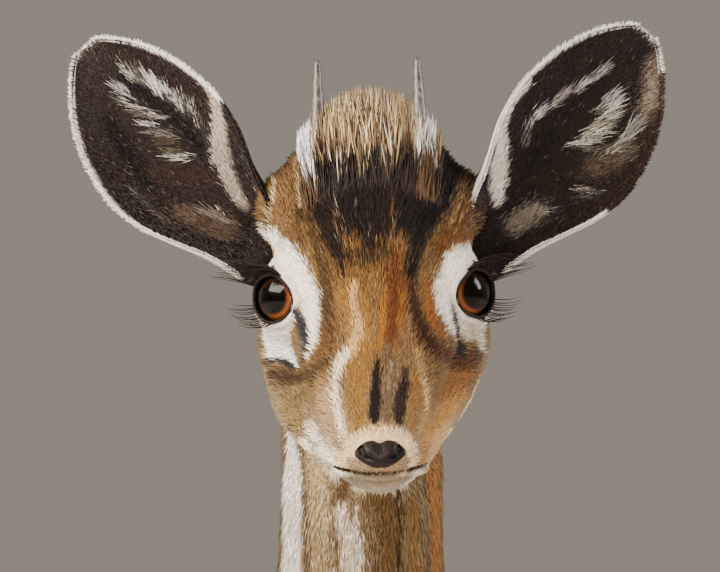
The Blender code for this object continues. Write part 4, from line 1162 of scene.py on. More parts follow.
def scatter(points, normals, triangles, count, rng):
    """Roots spread evenly over triangles: their places and normals."""
    corners = points[triangles]
    area = np.linalg.norm(np.cross(corners[:, 1] - corners[:, 0], corners[:, 2] - corners[:, 0]), axis=1)
    edge = np.cumsum(area)
    at = (np.arange(count) + rng.random(count)) / count * edge[-1]
    chosen = triangles[np.clip(np.searchsorted(edge, at), 0, len(triangles) - 1)]
    a, b = rng.random((2, count))
    fold = a + b > 1
    a[fold], b[fold] = 1 - a[fold], 1 - b[fold]
    share = np.stack([1 - a - b, a, b], axis=1)[:, :, None]
    normal = (normals[chosen] * share).sum(axis=1)
    return (points[chosen] * share).sum(axis=1), normal / np.linalg.norm(normal, axis=1, keepdims=True)


def unit(vectors):
    return vectors / np.maximum(np.linalg.norm(vectors, axis=1, keepdims=True), 1e-9)


def strands(roots, normals, lie, length, thickness, rise, rng, rings=1, sway=0.22):
    """The points of tapered three-sided tufts that leave the skin and bend along it: (tuft, point, xyz)."""
    count = len(roots)
    lie = unit(lie - normals * (lie * normals).sum(axis=1, keepdims=True))
    lie = unit(lie + np.cross(normals, lie) * rng.normal(0, sway, (count, 1)))
    side = np.cross(normals, lie)
    length = (length * rng.uniform(0.75, 1.1, count))[:, None]
    thickness = (thickness * rng.uniform(0.75, 1.25, count))[:, None]
    rise = np.radians(rise * rng.uniform(0.6, 1.4, count))[:, None]
    turn = rng.normal(0, sway * 0.7, (count, 1))
    shares = TUFT_SHARES[rings]
    at = roots - normals * ROOTED
    rows = [at]
    for step, (before, after) in enumerate(zip(shares, shares[1:])):
        angle = rise * (1 - TIP_FLATTER * before)
        heading = unit(lie + side * turn * after)
        at = at + (heading * np.cos(angle) + normals * np.sin(angle)) * length * (after - before)
        if after < 1:
            half = thickness / 2 * TUFT_SWELL[step]
            rows += [at + side * half, at + normals * half * 0.7, at - side * half]
    return np.stack([*rows, at], axis=1)


def shaded(colours, rings=1):
    """Each tuft's colour along its length, darker at the root and lighter at the tip."""
    root, low, high, tip = SHADES
    shade = np.concatenate([[root], np.repeat(np.linspace(low, high, rings), 3), [tip]])
    return colours[:, None, :] * shade[None, :, None]


def hair(name, points, colours, patch):
    """Closed spindles over the points of tufts; patch is each one's place on the unwrap it is baked to."""
    count, per_tuft = points.shape[:2]
    rings = (per_tuft - 2) // 3
    faces = [(0, 1, 2), (0, 2, 3), (0, 3, 1)]
    for ring in range(1, rings):
        a = 1 + 3 * (ring - 1)
        for k in range(3):
            b = a + (k + 1) % 3
            faces += [(a + k, a + k + 3, b + 3), (a + k, b + 3, b)]
    last = 1 + 3 * (rings - 1)
    faces += [(last + (k + 1) % 3, last + k, per_tuft - 1) for k in range(3)]
    faces = np.array(faces)[:, ::-1]
    triangles = (np.arange(count)[:, None, None] * per_tuft + faces[None]).reshape(-1, 3)
    tufts = triangle_mesh(name, points.reshape(-1, 3), triangles)
    tint(tufts.data, np.clip(colours.reshape(-1, 3), 0.002, 0.95))
    place = patch[:, None, :] + (np.array(TUFT_SPOTS[rings])[None] - 0.5) * TUFT_PATCH
    layer = tufts.data.uv_layers.new(name="OFBake")
    layer.uv.foreach_set("vector", place.reshape(-1, 2)[triangles.ravel()].astype(np.float32).ravel())
    return tufts


def unwrap(points, place, origin, along, zero):
    """Points unrolled from a cylinder in a frame: share of the turn, and share of the length."""
    turned = place.to_3x3()
    along = (turned @ Vector(along)).normalized()
    zero = turned @ Vector(zero)
    zero = (zero - along * along.dot(zero)).normalized()
    third = along.cross(zero)
    local = points - np.array(place @ Vector(origin))
    turn = np.arctan2(local @ np.array(third), local @ np.array(zero)) / (2 * math.pi) + 0.5
    reach = local @ np.array(along)
    reach = (reach - reach.min()) / max(1e-6, reach.max() - reach.min())
    return np.stack([0.01 + 0.98 * turn, 0.01 + 0.98 * reach], axis=1)


def coat_region(points):
    """The piece of the coat that each point belongs to."""
    local = to_frame(HEAD, points)
    names = np.where(points[:, 1] < BACK_FROM, "shoulder_fur", "back_fur").astype("U16")
    names[beyond(NECK_BASE, points) > 0] = "neck_fur"
    head = beyond(NECK_TOP, points) > 0
    face = head & (local[:, 1] < FACE_UP_TO)
    names[head & ~face] = "head_fur"
    names[face & (local[:, 0] >= 0)] = "face_fur_left"
    names[face & (local[:, 0] < 0)] = "face_fur_right"
    flank = (np.abs(points[:, 0]) > FLANK_FROM) & (points[:, 2] < LEGS_BELOW[1])
    names[(points[:, 2] < LEGS_BELOW[0]) | flank] = "leg_fur"
    names[(points[:, 1] > TAIL_FROM[0]) & (points[:, 2] > TAIL_FROM[1])] = "tail_fur"
    return names


def coat_patches(name, points):
    """Where each tuft's colours are baked, on an unwrap of its own part of the body."""
    if name in UNROLLED:
        return unwrap(points, *UNROLLED[name])
    leg = (points[:, 0] > 0) * 1 + (points[:, 1] > 30) * 2
    patch = np.empty((len(points), 2))
    for index in range(4):
        mine = leg == index
        middle = points[mine].mean(axis=0)
        patch[mine] = unwrap(points[mine], BODY, (middle[0], middle[1], 0), (0, 0, 1), (0, 1, 0))
        patch[mine, 0] = (patch[mine, 0] + index) / 4
    return patch


def grizzle(colours, share, rng):
    """Hairs banded dark and pale among the ground colour, as salt and pepper."""
    count = len(colours)
    colours = colours * rng.normal(1, 0.11, (count, 1))
    draw = rng.random(count)
    dark = draw < GRIZZLED * share
    pale = draw > 1 - GRIZZLED * share
    colours[dark] *= GRIZZLE_DARK
    colours[pale] = blend(colours[pale], linear(GRIZZLE_PALE[1]), GRIZZLE_PALE[0])
    return np.clip(colours, 0.003, 0.95)


def around_eyes(points, lie, length):
    """Turns the hair near the eyes away from them, and shortens it; shortens it at the lips too."""
    lie, length = lie.copy(), length.copy()
    for side in SIDES.values():
        reach, local = lid_reach(points, side)
        place = np.array(eye_frame(side))
        out = unit(local[:, :1] * place[:3, 0] + local[:, 1:2] * place[:3, 1])
        near = np.clip(EYE_HAIR_TURNS - reach, 0, 1)[:, None]
        towards = np.minimum(0, (lie * out).sum(axis=1, keepdims=True))
        lie += out * (EYE_HAIR_OUT - towards) * near
        begin, breadth, least = EYE_HAIR_SHORT
        length *= np.clip((reach - begin) / breadth, least, 1)
    head, mouth, on_head = at_mouth(points)
    front = (head[:, 1] < -33) & on_head
    under = np.clip((-17 - head[:, 2]) / 6, 0, 1) * np.clip((HEAD_REACH - eye_distance(points)) / 12, 0, 1)
    at_lips = np.where(front, np.clip(0.25 + mouth / 4, 0.3, 1), 1)
    return lie, length * (1 - CHIN_SHORTER * under) * at_lips


def stood_out(points, normals, length, rise):
    """Lengthens and lifts the hair where the coat stands further out on cheeks and neck."""
    rows = np.array(FULLER)
    extra = np.where(points[:, 0] < HEAD_SIDE, np.interp(points[:, 2], rows[:, 0], rows[:, 1]),
                     np.interp(points[:, 2], rows[:, 0], rows[:, 2]))
    extra = extra * np.clip(np.abs(normals[:, 0]) * 1.6 - 0.5, 0, 1) * (points[:, 1] < -110)
    along = length * np.cos(np.radians(rise))
    height = length * np.sin(np.radians(rise)) + FULLER_LIFT * extra
    return np.hypot(along, height), np.degrees(np.arctan2(height, along))


def bare_of_hair(centres):
    """Where no hair is rooted: eyes, nose pad, line of the mouth, and under the hooves' edge."""
    bare = centres[:, 2] < HOOF_TOP + 1
    for side in SIDES.values():
        reach, local = lid_reach(centres, side)
        bare |= (reach < NO_HAIR_LIDS) | (np.linalg.norm(local, axis=1) < EYE_RADIUS + 0.75)
    nose = to_frame(HEAD @ Matrix.Translation(NOSE_CENTRE), centres) / (np.array(NOSE_RADII) + 0.3)
    bare |= (nose ** 2).sum(axis=1) < 1
    head, mouth, on_head = at_mouth(centres)
    return bare | ((mouth < NO_HAIR_LIPS) & (head[:, 1] < LIPS_BEHIND - 1) & on_head)


def grow_coat(skin, strokes):
    """All the tufts of head, neck, body, legs and tail."""
    points, normals = points_of(skin.data)
    skin.data.calc_loop_triangles()
    triangles = np.empty(len(skin.data.loop_triangles) * 3, np.int32)
    skin.data.loop_triangles.foreach_get("vertices", triangles)
    triangles = triangles.reshape(-1, 3)
    centres = points[triangles].mean(axis=1)
    haired = ~bare_of_hair(centres) & (np.linalg.norm(normals[triangles].mean(axis=1), axis=1) > 0.2)
    region = coat_region(centres)
    made = []
    for index, (name, count) in enumerate(TUFTS.items()):
        rng = np.random.default_rng(100 + index)
        count = count
        roots, normal = scatter(points, normals, triangles[(region == name) & haired], count, rng)
        values = coat_at(roots)
        lie, length = around_eyes(roots, values[:, 0:3], values[:, 3])
        ground = grizzle(values[:, 6:9], np.clip((values[:, 3] - 3) / 7, 0.12, 1), rng)
        colours = markings(roots, ground, strokes, rng.normal(0, 1, count))
        colours = colours * rng.normal(1, TUFT_VARIETY, (count, 1))
        body = name in ("shoulder_fur", "back_fur", "tail_fur")
        length, rise = stood_out(roots, normal, length, values[:, 5])
        spots = strands(roots, normal, lie, length, values[:, 4], rise, rng, sway=0.2 if body else 0.12)
        made.append(hair(name, spots, shaded(colours), coat_patches(name, roots)))
    return made


def grow_crest(tree):
    """The crown's tuft of long hair, dark in front where it rises from the cap and pale at its tips, with
    painted highlights in white on its flanks, and its tips painted lighter on its right side as painted
    light.
    """
    rng = np.random.default_rng(7)
    count = CREST_HAIRS[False]
    back = rng.uniform(CREST_ROWS[0][0], CREST_ROWS[-1][0], count)
    across = CREST_HALF_WIDTH * np.clip(rng.normal(0, 0.55, count), -1, 1)
    down = HEAD.to_3x3() @ Vector((0, 0, -1))
    roots, normals, kept = [], [], []
    for index in range(count):
        start = HEAD @ Vector((across[index], back[index], 80))
        root, normal = met_by(tree, start, down)
        if root is not None:
            roots.append(root)
            normals.append(normal)
            kept.append(index)
    roots, normals = np.array(roots), np.array(normals)
    back, across = back[kept], across[kept]
    rows = np.array(CREST_ROWS)
    length = np.interp(back, rows[:, 0], rows[:, 1]) * (1 - 0.42 * (across / CREST_HALF_WIDTH) ** 2)
    lean = np.interp(back, rows[:, 0], rows[:, 2])
    heading = unit(np.stack([across * CREST_FAN, lean, np.ones(len(lean))], axis=1))
    heading = heading @ np.array(CARRIAGE)[:3, :3].T
    facing = (heading * normals).sum(axis=1)
    lift = np.degrees(np.arcsin(np.clip(facing, -1, 1)))
    spots = strands(roots, normals, heading - normals * facing[:, None] * 0.999, length,
                    np.full(len(roots), CREST_THICK), lift, rng, rings=2, sway=0.10)

    pale = np.array([linear(colour) for colour in CREST_PALE])
    dark = np.array([linear(colour) for colour in CREST_DARK])
    tips = pale[rng.choice(len(pale), len(roots), p=tuple(CREST_PALE.values()))]
    lows = dark[rng.integers(0, len(dark), len(roots))]
    behind = np.clip((back - 22) / 8 + rng.normal(0, 0.3, len(back)), 0, 1)[:, None]
    lows = blend(lows, tips * 0.6, behind)
    # Painted highlights: hairs on the crest's flanks get white tips
    flank = (np.abs(np.abs(across + 1.5) - 17) < 3.0) & (back > 6)
    tips[flank] = linear(CREST_FLANK_HIGHLIGHT[0])
    lows[flank] = linear(CREST_FLANK_HIGHLIGHT[1])
    edges = np.where(flank, np.where(across < 0, CREST_HIGHLIGHT_REACH[0], CREST_HIGHLIGHT_REACH[1]), CREST_EDGE)
    edge = in_picture(0, edges)[1] + rng.normal(0, 2.0, len(roots)) + 2.5 * np.sin(across * 0.9)
    above = np.clip((spots[:, :, 2] - edge[:, None]) / 3.5 + 0.5, 0, 1)[:, :, None]
    # Painted light and shade: the tips are painted up to 1.8 times lighter on the animal's right, the lit
    # side, and a little darker on its left
    tips = tips * np.interp(across, (-CREST_HALF_WIDTH, -4, CREST_HALF_WIDTH), (1.8, 1, 0.9))[:, None]
    colours = blend(lows[:, None, :], tips[:, None, :], above)
    colours = colours * rng.normal(1, TUFT_VARIETY, (len(roots), 1, 1))
    return hair("crest", spots, colours, coat_patches("crest", roots))


# Ears

def ear_axes(side):
    """The ear's root, length, and its directions along, across and the way the cup opens."""
    middle = HEAD @ Vector((0, 0, 0))
    root = middle + CARRIAGE @ Vector(mirrored(EAR_BASE, side))
    tip = middle + CARRIAGE @ Vector(mirrored(EAR_TIP, side))
    along = (tip - root).normalized()
    facing = CARRIAGE @ Vector(mirrored(EAR_FACING, side))
    facing = (facing - along * facing.dot(along)).normalized()
    across = along.cross(facing) * side
    return np.array(root), (tip - root).length, np.array(along), np.array(across), np.array(facing)


def ear_at(side, share, across_share):
    """Points inside the cup, the way out of it through the gristle, and the two ways along it."""
    root, length, along, across, facing = ear_axes(side)
    table = smooth_rows([(s * length, 0, 0, w, c) for s, w, c in EAR_ROWS], 200)
    spread = np.interp(share, *EAR_SPREAD)
    width = np.interp(share * length, table[:, 0], table[:, 3]) - 1.2 + spread
    bend = np.radians(np.interp(share * length, table[:, 0], table[:, 4]))
    radius = (width / 2 / np.sin(bend))[:, None]
    bow = (EAR_OUTWARD_BOW * np.sin(math.pi * np.clip(share, 0, 1)) - spread / 2)[:, None]
    hub = root + along * (share * length)[:, None] + across * bow + facing * radius
    angle = (across_share * bend)[:, None]
    ray = across * np.sin(angle) - facing * np.cos(angle)
    sideways = across * np.cos(angle) + facing * np.sin(angle)
    folds = 0.5 * np.sin(across_share * 9) * np.exp(-((share - 0.2) / 0.2) ** 2)
    return hub + ray * (radius + folds[:, None]), ray, sideways, np.broadcast_to(along, ray.shape), width


def ear_colours(points, share, across_share, inner, strokes, jitter, edge_rows):
    """Dark inside the cup with its strokes and pale rim, grizzled tan behind."""
    ground = np.where(inner[:, None], linear("#241B17"), linear("#6A533B"))
    whole = painted(points, ground, strokes, jitter)
    whole = np.where(inner[:, None], whole, ground)
    start = np.where(inner, 0.94, 0.88)
    for colour, sign, low, high in edge_rows:
        sideways = across_share * sign
        edge = np.maximum(sideways, np.where(share > 0.9, share - 0.025, 0) * (sideways > 0))
        rim = np.clip((edge - start + 0.01 * jitter) / 0.03, 0, 1) * (share > low) * (share < high)
        whole = blend(whole, linear(colour), rim[:, None])
    return whole


def make_ear(side_name, rows=90, columns=49):
    """The cupped leaf of gristle and skin."""
    side = SIDES[side_name]
    grid = np.meshgrid(np.linspace(-0.16, 0.995, rows), np.linspace(-1, 1, columns), indexing="ij")
    share, across_share = (part.ravel() for part in grid)
    inner, ray, _, _, _ = ear_at(side, share, across_share)
    thick = EAR_RIM + (EAR_THICK - EAR_RIM) * (1 - across_share**2) * (1 - 0.35 * np.clip(share, 0, 1))
    outer = inner + ray * thick[:, None]
    back = len(inner)
    faces = []
    for i in range(rows - 1):
        for k in range(columns - 1):
            a = i * columns + k
            b, c, d = a + 1, a + columns + 1, a + columns
            faces += [(a, b, c, d), (back + a, back + d, back + c, back + b)]
        for a in (i * columns, (i + 1) * columns - 1):
            faces.append((a, a + columns, back + a + columns, back + a))
    for i in (0, rows - 1):
        for a in range(i * columns, (i + 1) * columns - 1):
            faces.append((a, a + 1, back + a + 1, back + a))
    ear = object_from(f"ear_skin_{side_name}", np.concatenate([inner, outer]), faces)
    tree = tree_of(ear)
    strokes = strokes_on(tree, EAR_MARKS[side_name])
    points, _ = points_of(ear.data)
    colours = ear_colours(
        points, np.tile(share, 2), np.tile(across_share, 2), np.arange(2 * back) < back, strokes,
        np.zeros(2 * back), EAR_EDGES[side_name],
    )
    tint(ear.data, colours * 0.9)
    return ear, tree, strokes


def grow_ear(side_name, strokes):
    """The ear's fur: short on both faces and longest in a fringe round its rim."""
    side = SIDES[side_name]
    rng = np.random.default_rng(31 if side > 0 else 32)
    count = EAR_HAIRS[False]
    share = 0.99 - rng.random(count) ** 0.9 * 1.14
    across_share = rng.uniform(-0.985, 0.985, count)
    fringe = np.arange(count) < count // EAR_FRINGE_PART
    across_share[fringe] = np.sign(across_share[fringe]) * rng.uniform(*EAR_FRINGE_ACROSS, fringe.sum())
    inner = rng.random(count) < 0.66
    spot, ray, sideways, along, breadth = ear_at(side, share, across_share)
    thick = EAR_RIM + (EAR_THICK - EAR_RIM) * (1 - across_share**2)
    roots = np.where(inner[:, None], spot, spot + ray * thick[:, None])
    normals = np.where(inner[:, None], -ray, ray)
    outwards = np.where(inner, 0.75, 0.2) * across_share * (1 - across_share**8)
    outwards[fringe] = 0.7 * np.sign(across_share[fringe])
    lie = along + sideways * outwards[:, None]
    jitter = rng.normal(0, 1, count)
    colours = ear_colours(roots, share, across_share, inner, strokes, jitter, EAR_EDGES[side_name])
    colours = colours * rng.normal(1, 0.16, (count, 1))
    pale = rng.random(count) < np.where(inner, 0.02, 0.2)
    colours[pale] = blend(colours[pale], linear("#7F725F"), 0.4)
    at_edge = np.abs(across_share) > 0.93
    room = np.minimum((1 - np.abs(across_share)) * breadth * 0.6, (1 - share) * 60) + 0.5
    length = np.minimum(np.where(at_edge, *EAR_HAIR_LONG), room)
    length[fringe] = EAR_FRINGE_LONG
    thickness = np.where(at_edge, *EAR_HAIR_THICK)
    fur = strands(roots, normals, lie, length, thickness, np.where(inner, *EAR_HAIR_RISE), rng)
    return hair(f"ear_fur_{side_name}", fur, shaded(colours), ear_patch(share, across_share, inner)), rng


def grow_streaks(side_name, tree, rng):
    """The long pale hair inside the cup, stroked outwards as in the picture."""
    roots, normals, lie, length, colours = [], [], [], [], []
    for x0, y0, x1, y1, width, colour in EAR_STROKES[side_name]:
        long = math.hypot(x1 - x0, y1 - y0)
        start, _ = seen_at(tree, x0, y0)
        end, _ = seen_at(tree, x1, y1)
        if start is None or end is None:
            continue
        number = EAR_STREAKS[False] * width
        tone = linear(colour)
        starts = np.clip(rng.normal(0.24, 0.17, number), -0.1, 0.6)
        for t, drift, bright in zip(starts, rng.normal(0, 0.36, number), rng.normal(0.92, 0.34, number)):
            x = x0 + (x1 - x0) * t - (y1 - y0) / long * width * drift
            y = y0 + (y1 - y0) * t + (x1 - x0) / long * width * drift
            root, normal = seen_at(tree, x, y)
            if root is None:
                continue
            roots.append(root)
            normals.append(normal)
            lie.append(end - start)
            length.append(long * PIXEL * rng.uniform(0.34, 0.62))
            colours.append(tone * max(0.2, bright))
    roots, normals = np.array(roots), np.array(normals)
    count = len(roots)
    spots = strands(
        roots, normals, unit(np.array(lie)), np.array(length), np.full(count, STREAK_THICK),
        np.full(count, STREAK_RISE), rng, rings=2, sway=0.16,
    )
    root, reach, along, across, _ = ear_axes(SIDES[side_name])
    local = (roots - root) / reach
    patch = ear_patch(local @ along, local @ across * 2, np.ones(count, bool))
    return hair(f"ear_streaks_{side_name}", spots, shaded(np.array(colours), 2), patch)


def ear_patch(share, across_share, inner):
    """Where an ear's tufts are baked: its inner face on one half of the sheet and its back on the other."""
    across = 0.01 + 0.48 * (np.clip(across_share, -1, 1) + 1) / 2
    return np.stack([across + np.where(inner, 0, 0.5), 0.02 + 0.94 * np.clip(share, 0, 1)], axis=1)


# Eyes, lids, nose, horns and hooves

def make_eye(side_name):
    """The ball with its cornea, measured from the line of sight so that iris and pupil can be drawn."""
    side = SIDES[side_name]
    place = eye_frame(side, GAZE_OUTWARD)
    ball = ellipsoid(f"eyeball_{side_name}", (0, 0, 0), (EYE_RADIUS,) * 3, place, segments=96, rings=80)
    points, _ = points_of(ball.data)
    local = to_frame(place, points)
    away = np.hypot(local[:, 0], local[:, 1])
    bulge = CORNEA_RISE * (np.cos(math.pi * np.clip(away / CORNEA_RADIUS, 0, 1)) + 1) / 2
    local[:, 2] += np.where(local[:, 2] > 0, bulge, 0)
    move_points(ball.data, from_frame(place, local))
    measure(ball.data, "off_axis", np.where(local[:, 2] > 0, away, 15))
    measure(ball.data, "round_x", -side * local[:, 0] / np.maximum(away, 0.2))
    measure(ball.data, "round_y", local[:, 1] / np.maximum(away, 0.2))
    return ball


def make_lids(side_name, tree):
    """The bare black edge of both lids on the cut skin, thicker above and drawn out to the tear duct."""
    side = SIDES[side_name]
    place = eye_frame(side)
    inwards = place.to_3x3() @ Vector((0, 0, -1))
    path = []
    radii = []
    for angle in turns(72):
        x, y = almond(angle, 0.1)
        medial = max(0.0, -side * math.cos(angle)) ** 12
        x -= side * 1.2 * medial
        y -= 0.8 * medial
        z = math.sqrt(max(4.0, (LID_RADIUS - 0.5) ** 2 - x * x - y * y))
        hit, _ = met_by(tree, place @ Vector((x, y, 30)), inwards)
        if hit is not None:
            z = max(z, (place.inverted() @ hit).z - 0.25)
        path.append(place @ Vector((x, y, z)))
        radii.append(0.4 + 0.3 * max(0.0, math.sin(angle)))
    heights = [p.copy() for p in path]
    for k, middle in enumerate(heights):
        path[k] = (heights[k - 1] + middle * 2 + heights[(k + 1) % len(heights)]) / 4
    return tube(f"lids_{side_name}", path, radii, sides=10, closed=True)


def make_lashes(side_name):
    """Long black lashes, swept outwards from the upper lid and fewer from the lower."""
    side = SIDES[side_name]
    rng = np.random.default_rng(61 if side > 0 else 62)
    place = eye_frame(side)
    lashes = []
    for first, last, number, long, lift in LASHES:
        for k in range(number):
            degrees = first + (last - first) * (k + rng.uniform(-0.3, 0.3)) / (number - 1)
            angle = math.radians(degrees if side > 0 else 180 - degrees)
            x, y = almond(angle, 0.5)
            root = Vector((x, y, math.sqrt(max(4.0, (LID_RADIUS - 0.4) ** 2 - x * x - y * y))))
            outward = Vector((side * 0.9, lift + rng.normal(0, 0.05), 0.62)).normalized()
            away = Vector((x, y, 6)).normalized()
            length = long * rng.uniform(0.7, 1.05)
            path = []
            for step in range(6):
                t = step / 5
                bend = (away * (1 - t) + outward * (0.35 + t)).normalized()
                path.append(place @ (root + bend * (length * t)))
            radii = [LASH_RADIUS * (1 - 0.85 * step / 5) for step in range(6)]
            lashes.append(tube("lash", path, radii, sides=4))
    return joined(f"lashes_{side_name}", lashes)


def make_nose():
    """The bare pad with its comma-shaped nostrils."""
    pad = nose_shape("nose_pad")
    points, normals = points_of(pad.data)
    local = to_frame(HEAD, points)
    hollow = np.zeros(len(points))
    for side in SIDES.values():
        for centre, radii in NOSTRIL:
            spread = (local - np.array(mirrored(centre, side))) / radii
            hollow = np.maximum(hollow, np.exp(-(spread ** 2).sum(axis=1) ** 1.5))
    groove = 0.35 * np.exp(-(local[:, 0] / 0.45) ** 2) * (local[:, 2] < -5)
    move_points(pad.data, points - normals * (NOSTRIL_DEPTH * hollow + groove)[:, None])
    measure(pad.data, "hollow", hollow)
    pad.data.shade_smooth()
    return pad


def make_horn(side_name):
    """A short straight spike, ringed over its lower half."""
    side = SIDES[side_name]
    base = HEAD @ Vector(mirrored(HORN_ROOT, side))
    tip = HEAD @ Vector(mirrored(HORN_TIP, side))
    along = (tip - base).normalized()
    across = along.cross(Vector((0, 1, 0))).normalized()
    up = along.cross(across)
    length = (tip - base).length
    rings = []
    steps = 90
    for i in range(steps + 1):
        at = -HORN_ROOTED + (length + HORN_ROOTED) * i / steps
        share = max(0.0, at / length)
        radius = HORN_RADIUS + (HORN_TIP_RADIUS - HORN_RADIUS) * share**0.85
        radius *= 1 + 0.05 * math.sin(at * 2.3) * max(0.0, 1 - share / 0.6)
        if i > steps - len(HORN_POINT):
            radius *= HORN_POINT[i - steps + len(HORN_POINT) - 1]
        rings.append(oval(base + along * at, across, up, radius, radius, 28))
    return ringed(f"horn_sheath_{side_name}", rings)


def make_hoof(pair, side_name, toe_name, toe):
    """One of the two pointed toes of a cloven foot."""
    x, y = leg_rows(pair, side_name)[-2][:2]
    heights = np.array(HOOF_ROWS)
    rings = []
    for height in np.linspace(0, HOOF_ROWS[-1][0], 16):
        share, back, front = (np.interp(height, heights[:, 0], heights[:, k]) for k in (1, 2, 3))
        ring = []
        for angle in turns(48):
            forward = math.cos(angle)
            ahead = max(0.0, forward)
            reach = HOOF_LENGTH * (HOOF_AHEAD * front if ahead else (1 - HOOF_AHEAD) * 0.88)
            bulge = math.copysign(abs(math.sin(angle)) ** 0.8, math.sin(angle))
            width = HOOF_WIDTH / 2 * share * bulge * (1 - 0.5 * ahead**1.6)
            middle = x + toe * (TOE_GAP / 2 + HOOF_WIDTH / 2 - TOE_TURN * ahead)
            ring.append((middle + width * 0.99, y - reach * forward * 0.99 + back - 2.5, height))
        rings.append(ring)
    return ringed(f"toe_{pair}_{side_name}_{toe_name}", rings)


# Materials

def node(tree, kind, settings=None, inputs=None):
    """Adds a shader node, with its settings and with each input set to a value or linked to an output."""
    made = tree.nodes.new("ShaderNode" + kind)
    for key, value in (settings or {}).items():
        setattr(made, key, value)
    for key, value in (inputs or {}).items():
        if isinstance(value, bpy.types.NodeSocket):
            tree.links.new(value, made.inputs[key])
        else:
            made.inputs[key].default_value = value
    return made


def material(name, **sockets):
    """A material whose surface is one shader, with the given sockets set: (material, tree, shader)."""
    made = bpy.data.materials.new(name)
    made.use_nodes = True
    shader = made.node_tree.nodes["Principled BSDF"]
    for key, value in sockets.items():
        shader.inputs[key.replace("_", " ")].default_value = value
    return made, made.node_tree, shader


def ramp(tree, source, stops):
    """Colours set along a value."""
    made = node(tree, "ValToRGB", inputs={"Fac": source})
    elements = made.color_ramp.elements
    elements[0].position, elements[0].color = stops[0][0], rgba(stops[0][1])
    elements[1].position, elements[1].color = stops[-1][0], rgba(stops[-1][1])
    for position, colour in stops[1:-1]:
        elements.new(position).color = rgba(colour)
    return made.outputs["Color"]


def noise_in(tree, grain, detail, stretch=None):
    """A noise fixed to its piece, its grain so many millimetres wide and drawn out by a stretch."""
    place = node(tree, "TexCoord").outputs["Object"]
    if stretch:
        place = node(tree, "Mapping", inputs={"Vector": place, "Scale": stretch}).outputs["Vector"]
    scale = 1 / (grain * MM)
    return node(tree, "TexNoise", inputs={"Vector": place, "Scale": scale, "Detail": detail}).outputs["Fac"]


def ranged(tree, value, source, result):
    """A value carried over from one range to another."""
    ends = {"From Min": source[0], "From Max": source[1], "To Min": result[0], "To Max": result[1]}
    return node(tree, "MapRange", inputs={"Value": value, **ends}).outputs["Result"]


def attribute(tree, name):
    return node(tree, "Attribute", {"attribute_name": name}).outputs


def dimmed(tree, colour, share):
    """A colour made darker or lighter by a share."""
    return node(tree, "VectorMath", {"operation": "SCALE"}, {0: colour, "Scale": share}).outputs["Vector"]


def bumped(tree, shader, height, strength, deep, **settings):
    """Bumps on a surface, so many millimetres deep."""
    bump = node(tree, "Bump", settings, {"Height": height, "Strength": strength, "Distance": deep * MM})
    tree.links.new(bump.outputs["Normal"], shader.inputs["Normal"])


def own_colour(tree, shader, noise, result):
    """Each point's own colour, darker and lighter with a noise."""
    tone = dimmed(tree, attribute(tree, "coat_colour")["Color"], ranged(tree, noise, (0.3, 0.7), result))
    tree.links.new(tone, shader.inputs["Base Color"])


def grained(name, noise, stops, bump=None, **sockets):
    """A material coloured along a noise of (grain, detail, stretch), its bumps of (strength, depth)."""
    made, tree, shader = material(name, **sockets)
    grain = noise_in(tree, *noise)
    tree.links.new(ramp(tree, grain, stops), shader.inputs["Base Color"])
    if bump:
        bumped(tree, shader, grain, *bump)
    return made


def hair_keratin(name, roughness, grain, strength):
    """Pigmented hair: soft-lit fibres whose colour is each tuft's own, streaked finely along its length."""
    made, tree, shader = material(name, Roughness=roughness, IOR=1.55, Specular_IOR_Level=0.12)
    own_colour(tree, shader, noise_in(tree, grain, 3.0), (1 - strength, 1 + strength))
    return made


def hide_skin():
    """Haired hide: matt, its short undercoat felted into fine bumps that run with the body."""
    made, tree, shader = material("hide_felted", Roughness=0.8, IOR=1.45, Specular_IOR_Level=0.1)
    felt = noise_in(tree, 0.9, 4.0)
    own_colour(tree, shader, felt, (0.6, 0.95))
    bumped(tree, shader, felt, 0.5, 0.5)
    return made


def horn_keratin():
    """Horn sheath: grey-brown keratin, worn satin, with fibres along it."""
    return grained(
        "horn_keratin", (0.8, 4.0, (1.0, 1.0, 0.12)),
        ((0.3, "#251F1A"), (0.5, "#463D34"), (0.72, "#6E6254")), (0.35, 0.3), Roughness=0.42, IOR=1.55,
    )


def hoof_keratin():
    """Hoof horn: near-black keratin with a dull polish and thin growth lines round it."""
    return grained(
        "hoof_keratin", (1.2, 3.0, (0.12, 0.12, 1.0)),
        ((0.3, "#14110F"), (0.6, "#2B2521"), (0.8, "#4A4038")), (0.3, 0.3), Roughness=0.38, IOR=1.55,
    )


def lid_leather():
    """Bare lid edge: black, thin and damp skin."""
    return grained(
        "lid_leather", (0.7, 3.0), ((0.35, "#0C0908"), (0.7, "#2A1D1A")),
        (0.4, 0.2), Roughness=0.6, IOR=1.4, Specular_IOR_Level=0.15,
    )


def floor_paint():
    """Matt wall paint on a smooth floor, so pale that it only holds the shadow."""
    return grained("floor_paint", (400, 2.0), ((0.3, "#CFC7BB"), (0.7, "#D3CCC1")), Roughness=0.9)


def nose_leather():
    """Bare nose skin: dark, moist and pebbled, with painted shade that makes the nostrils' hollows near
    black.
    """
    made, tree, shader = material(
        "nose_leather", Roughness=0.6, IOR=1.4, Specular_IOR_Level=0.2, Coat_Weight=0.08,
        Coat_Roughness=0.25,
    )
    place = node(tree, "TexCoord").outputs["Object"]
    cells = node(tree, "TexVoronoi", {"feature": "SMOOTH_F1"}, {"Vector": place, "Scale": 1 / (0.55 * MM)})
    pebble = cells.outputs["Distance"]
    base = ramp(tree, pebble, ((0.0, "#231614"), (0.7, "#120B0B")))
    # Painted shade: the nostrils' hollows are mixed to near black by their depth
    nostril_shade_mix = {"Factor": attribute(tree, "hollow")["Fac"], 6: base, 7: rgba("#060404")}
    tone = node(tree, "Mix", {"data_type": "RGBA"}, nostril_shade_mix)
    tree.links.new(tone.outputs[2], shader.inputs["Base Color"])
    bumped(tree, shader, pebble, 0.5, 0.25, invert=True)
    return made


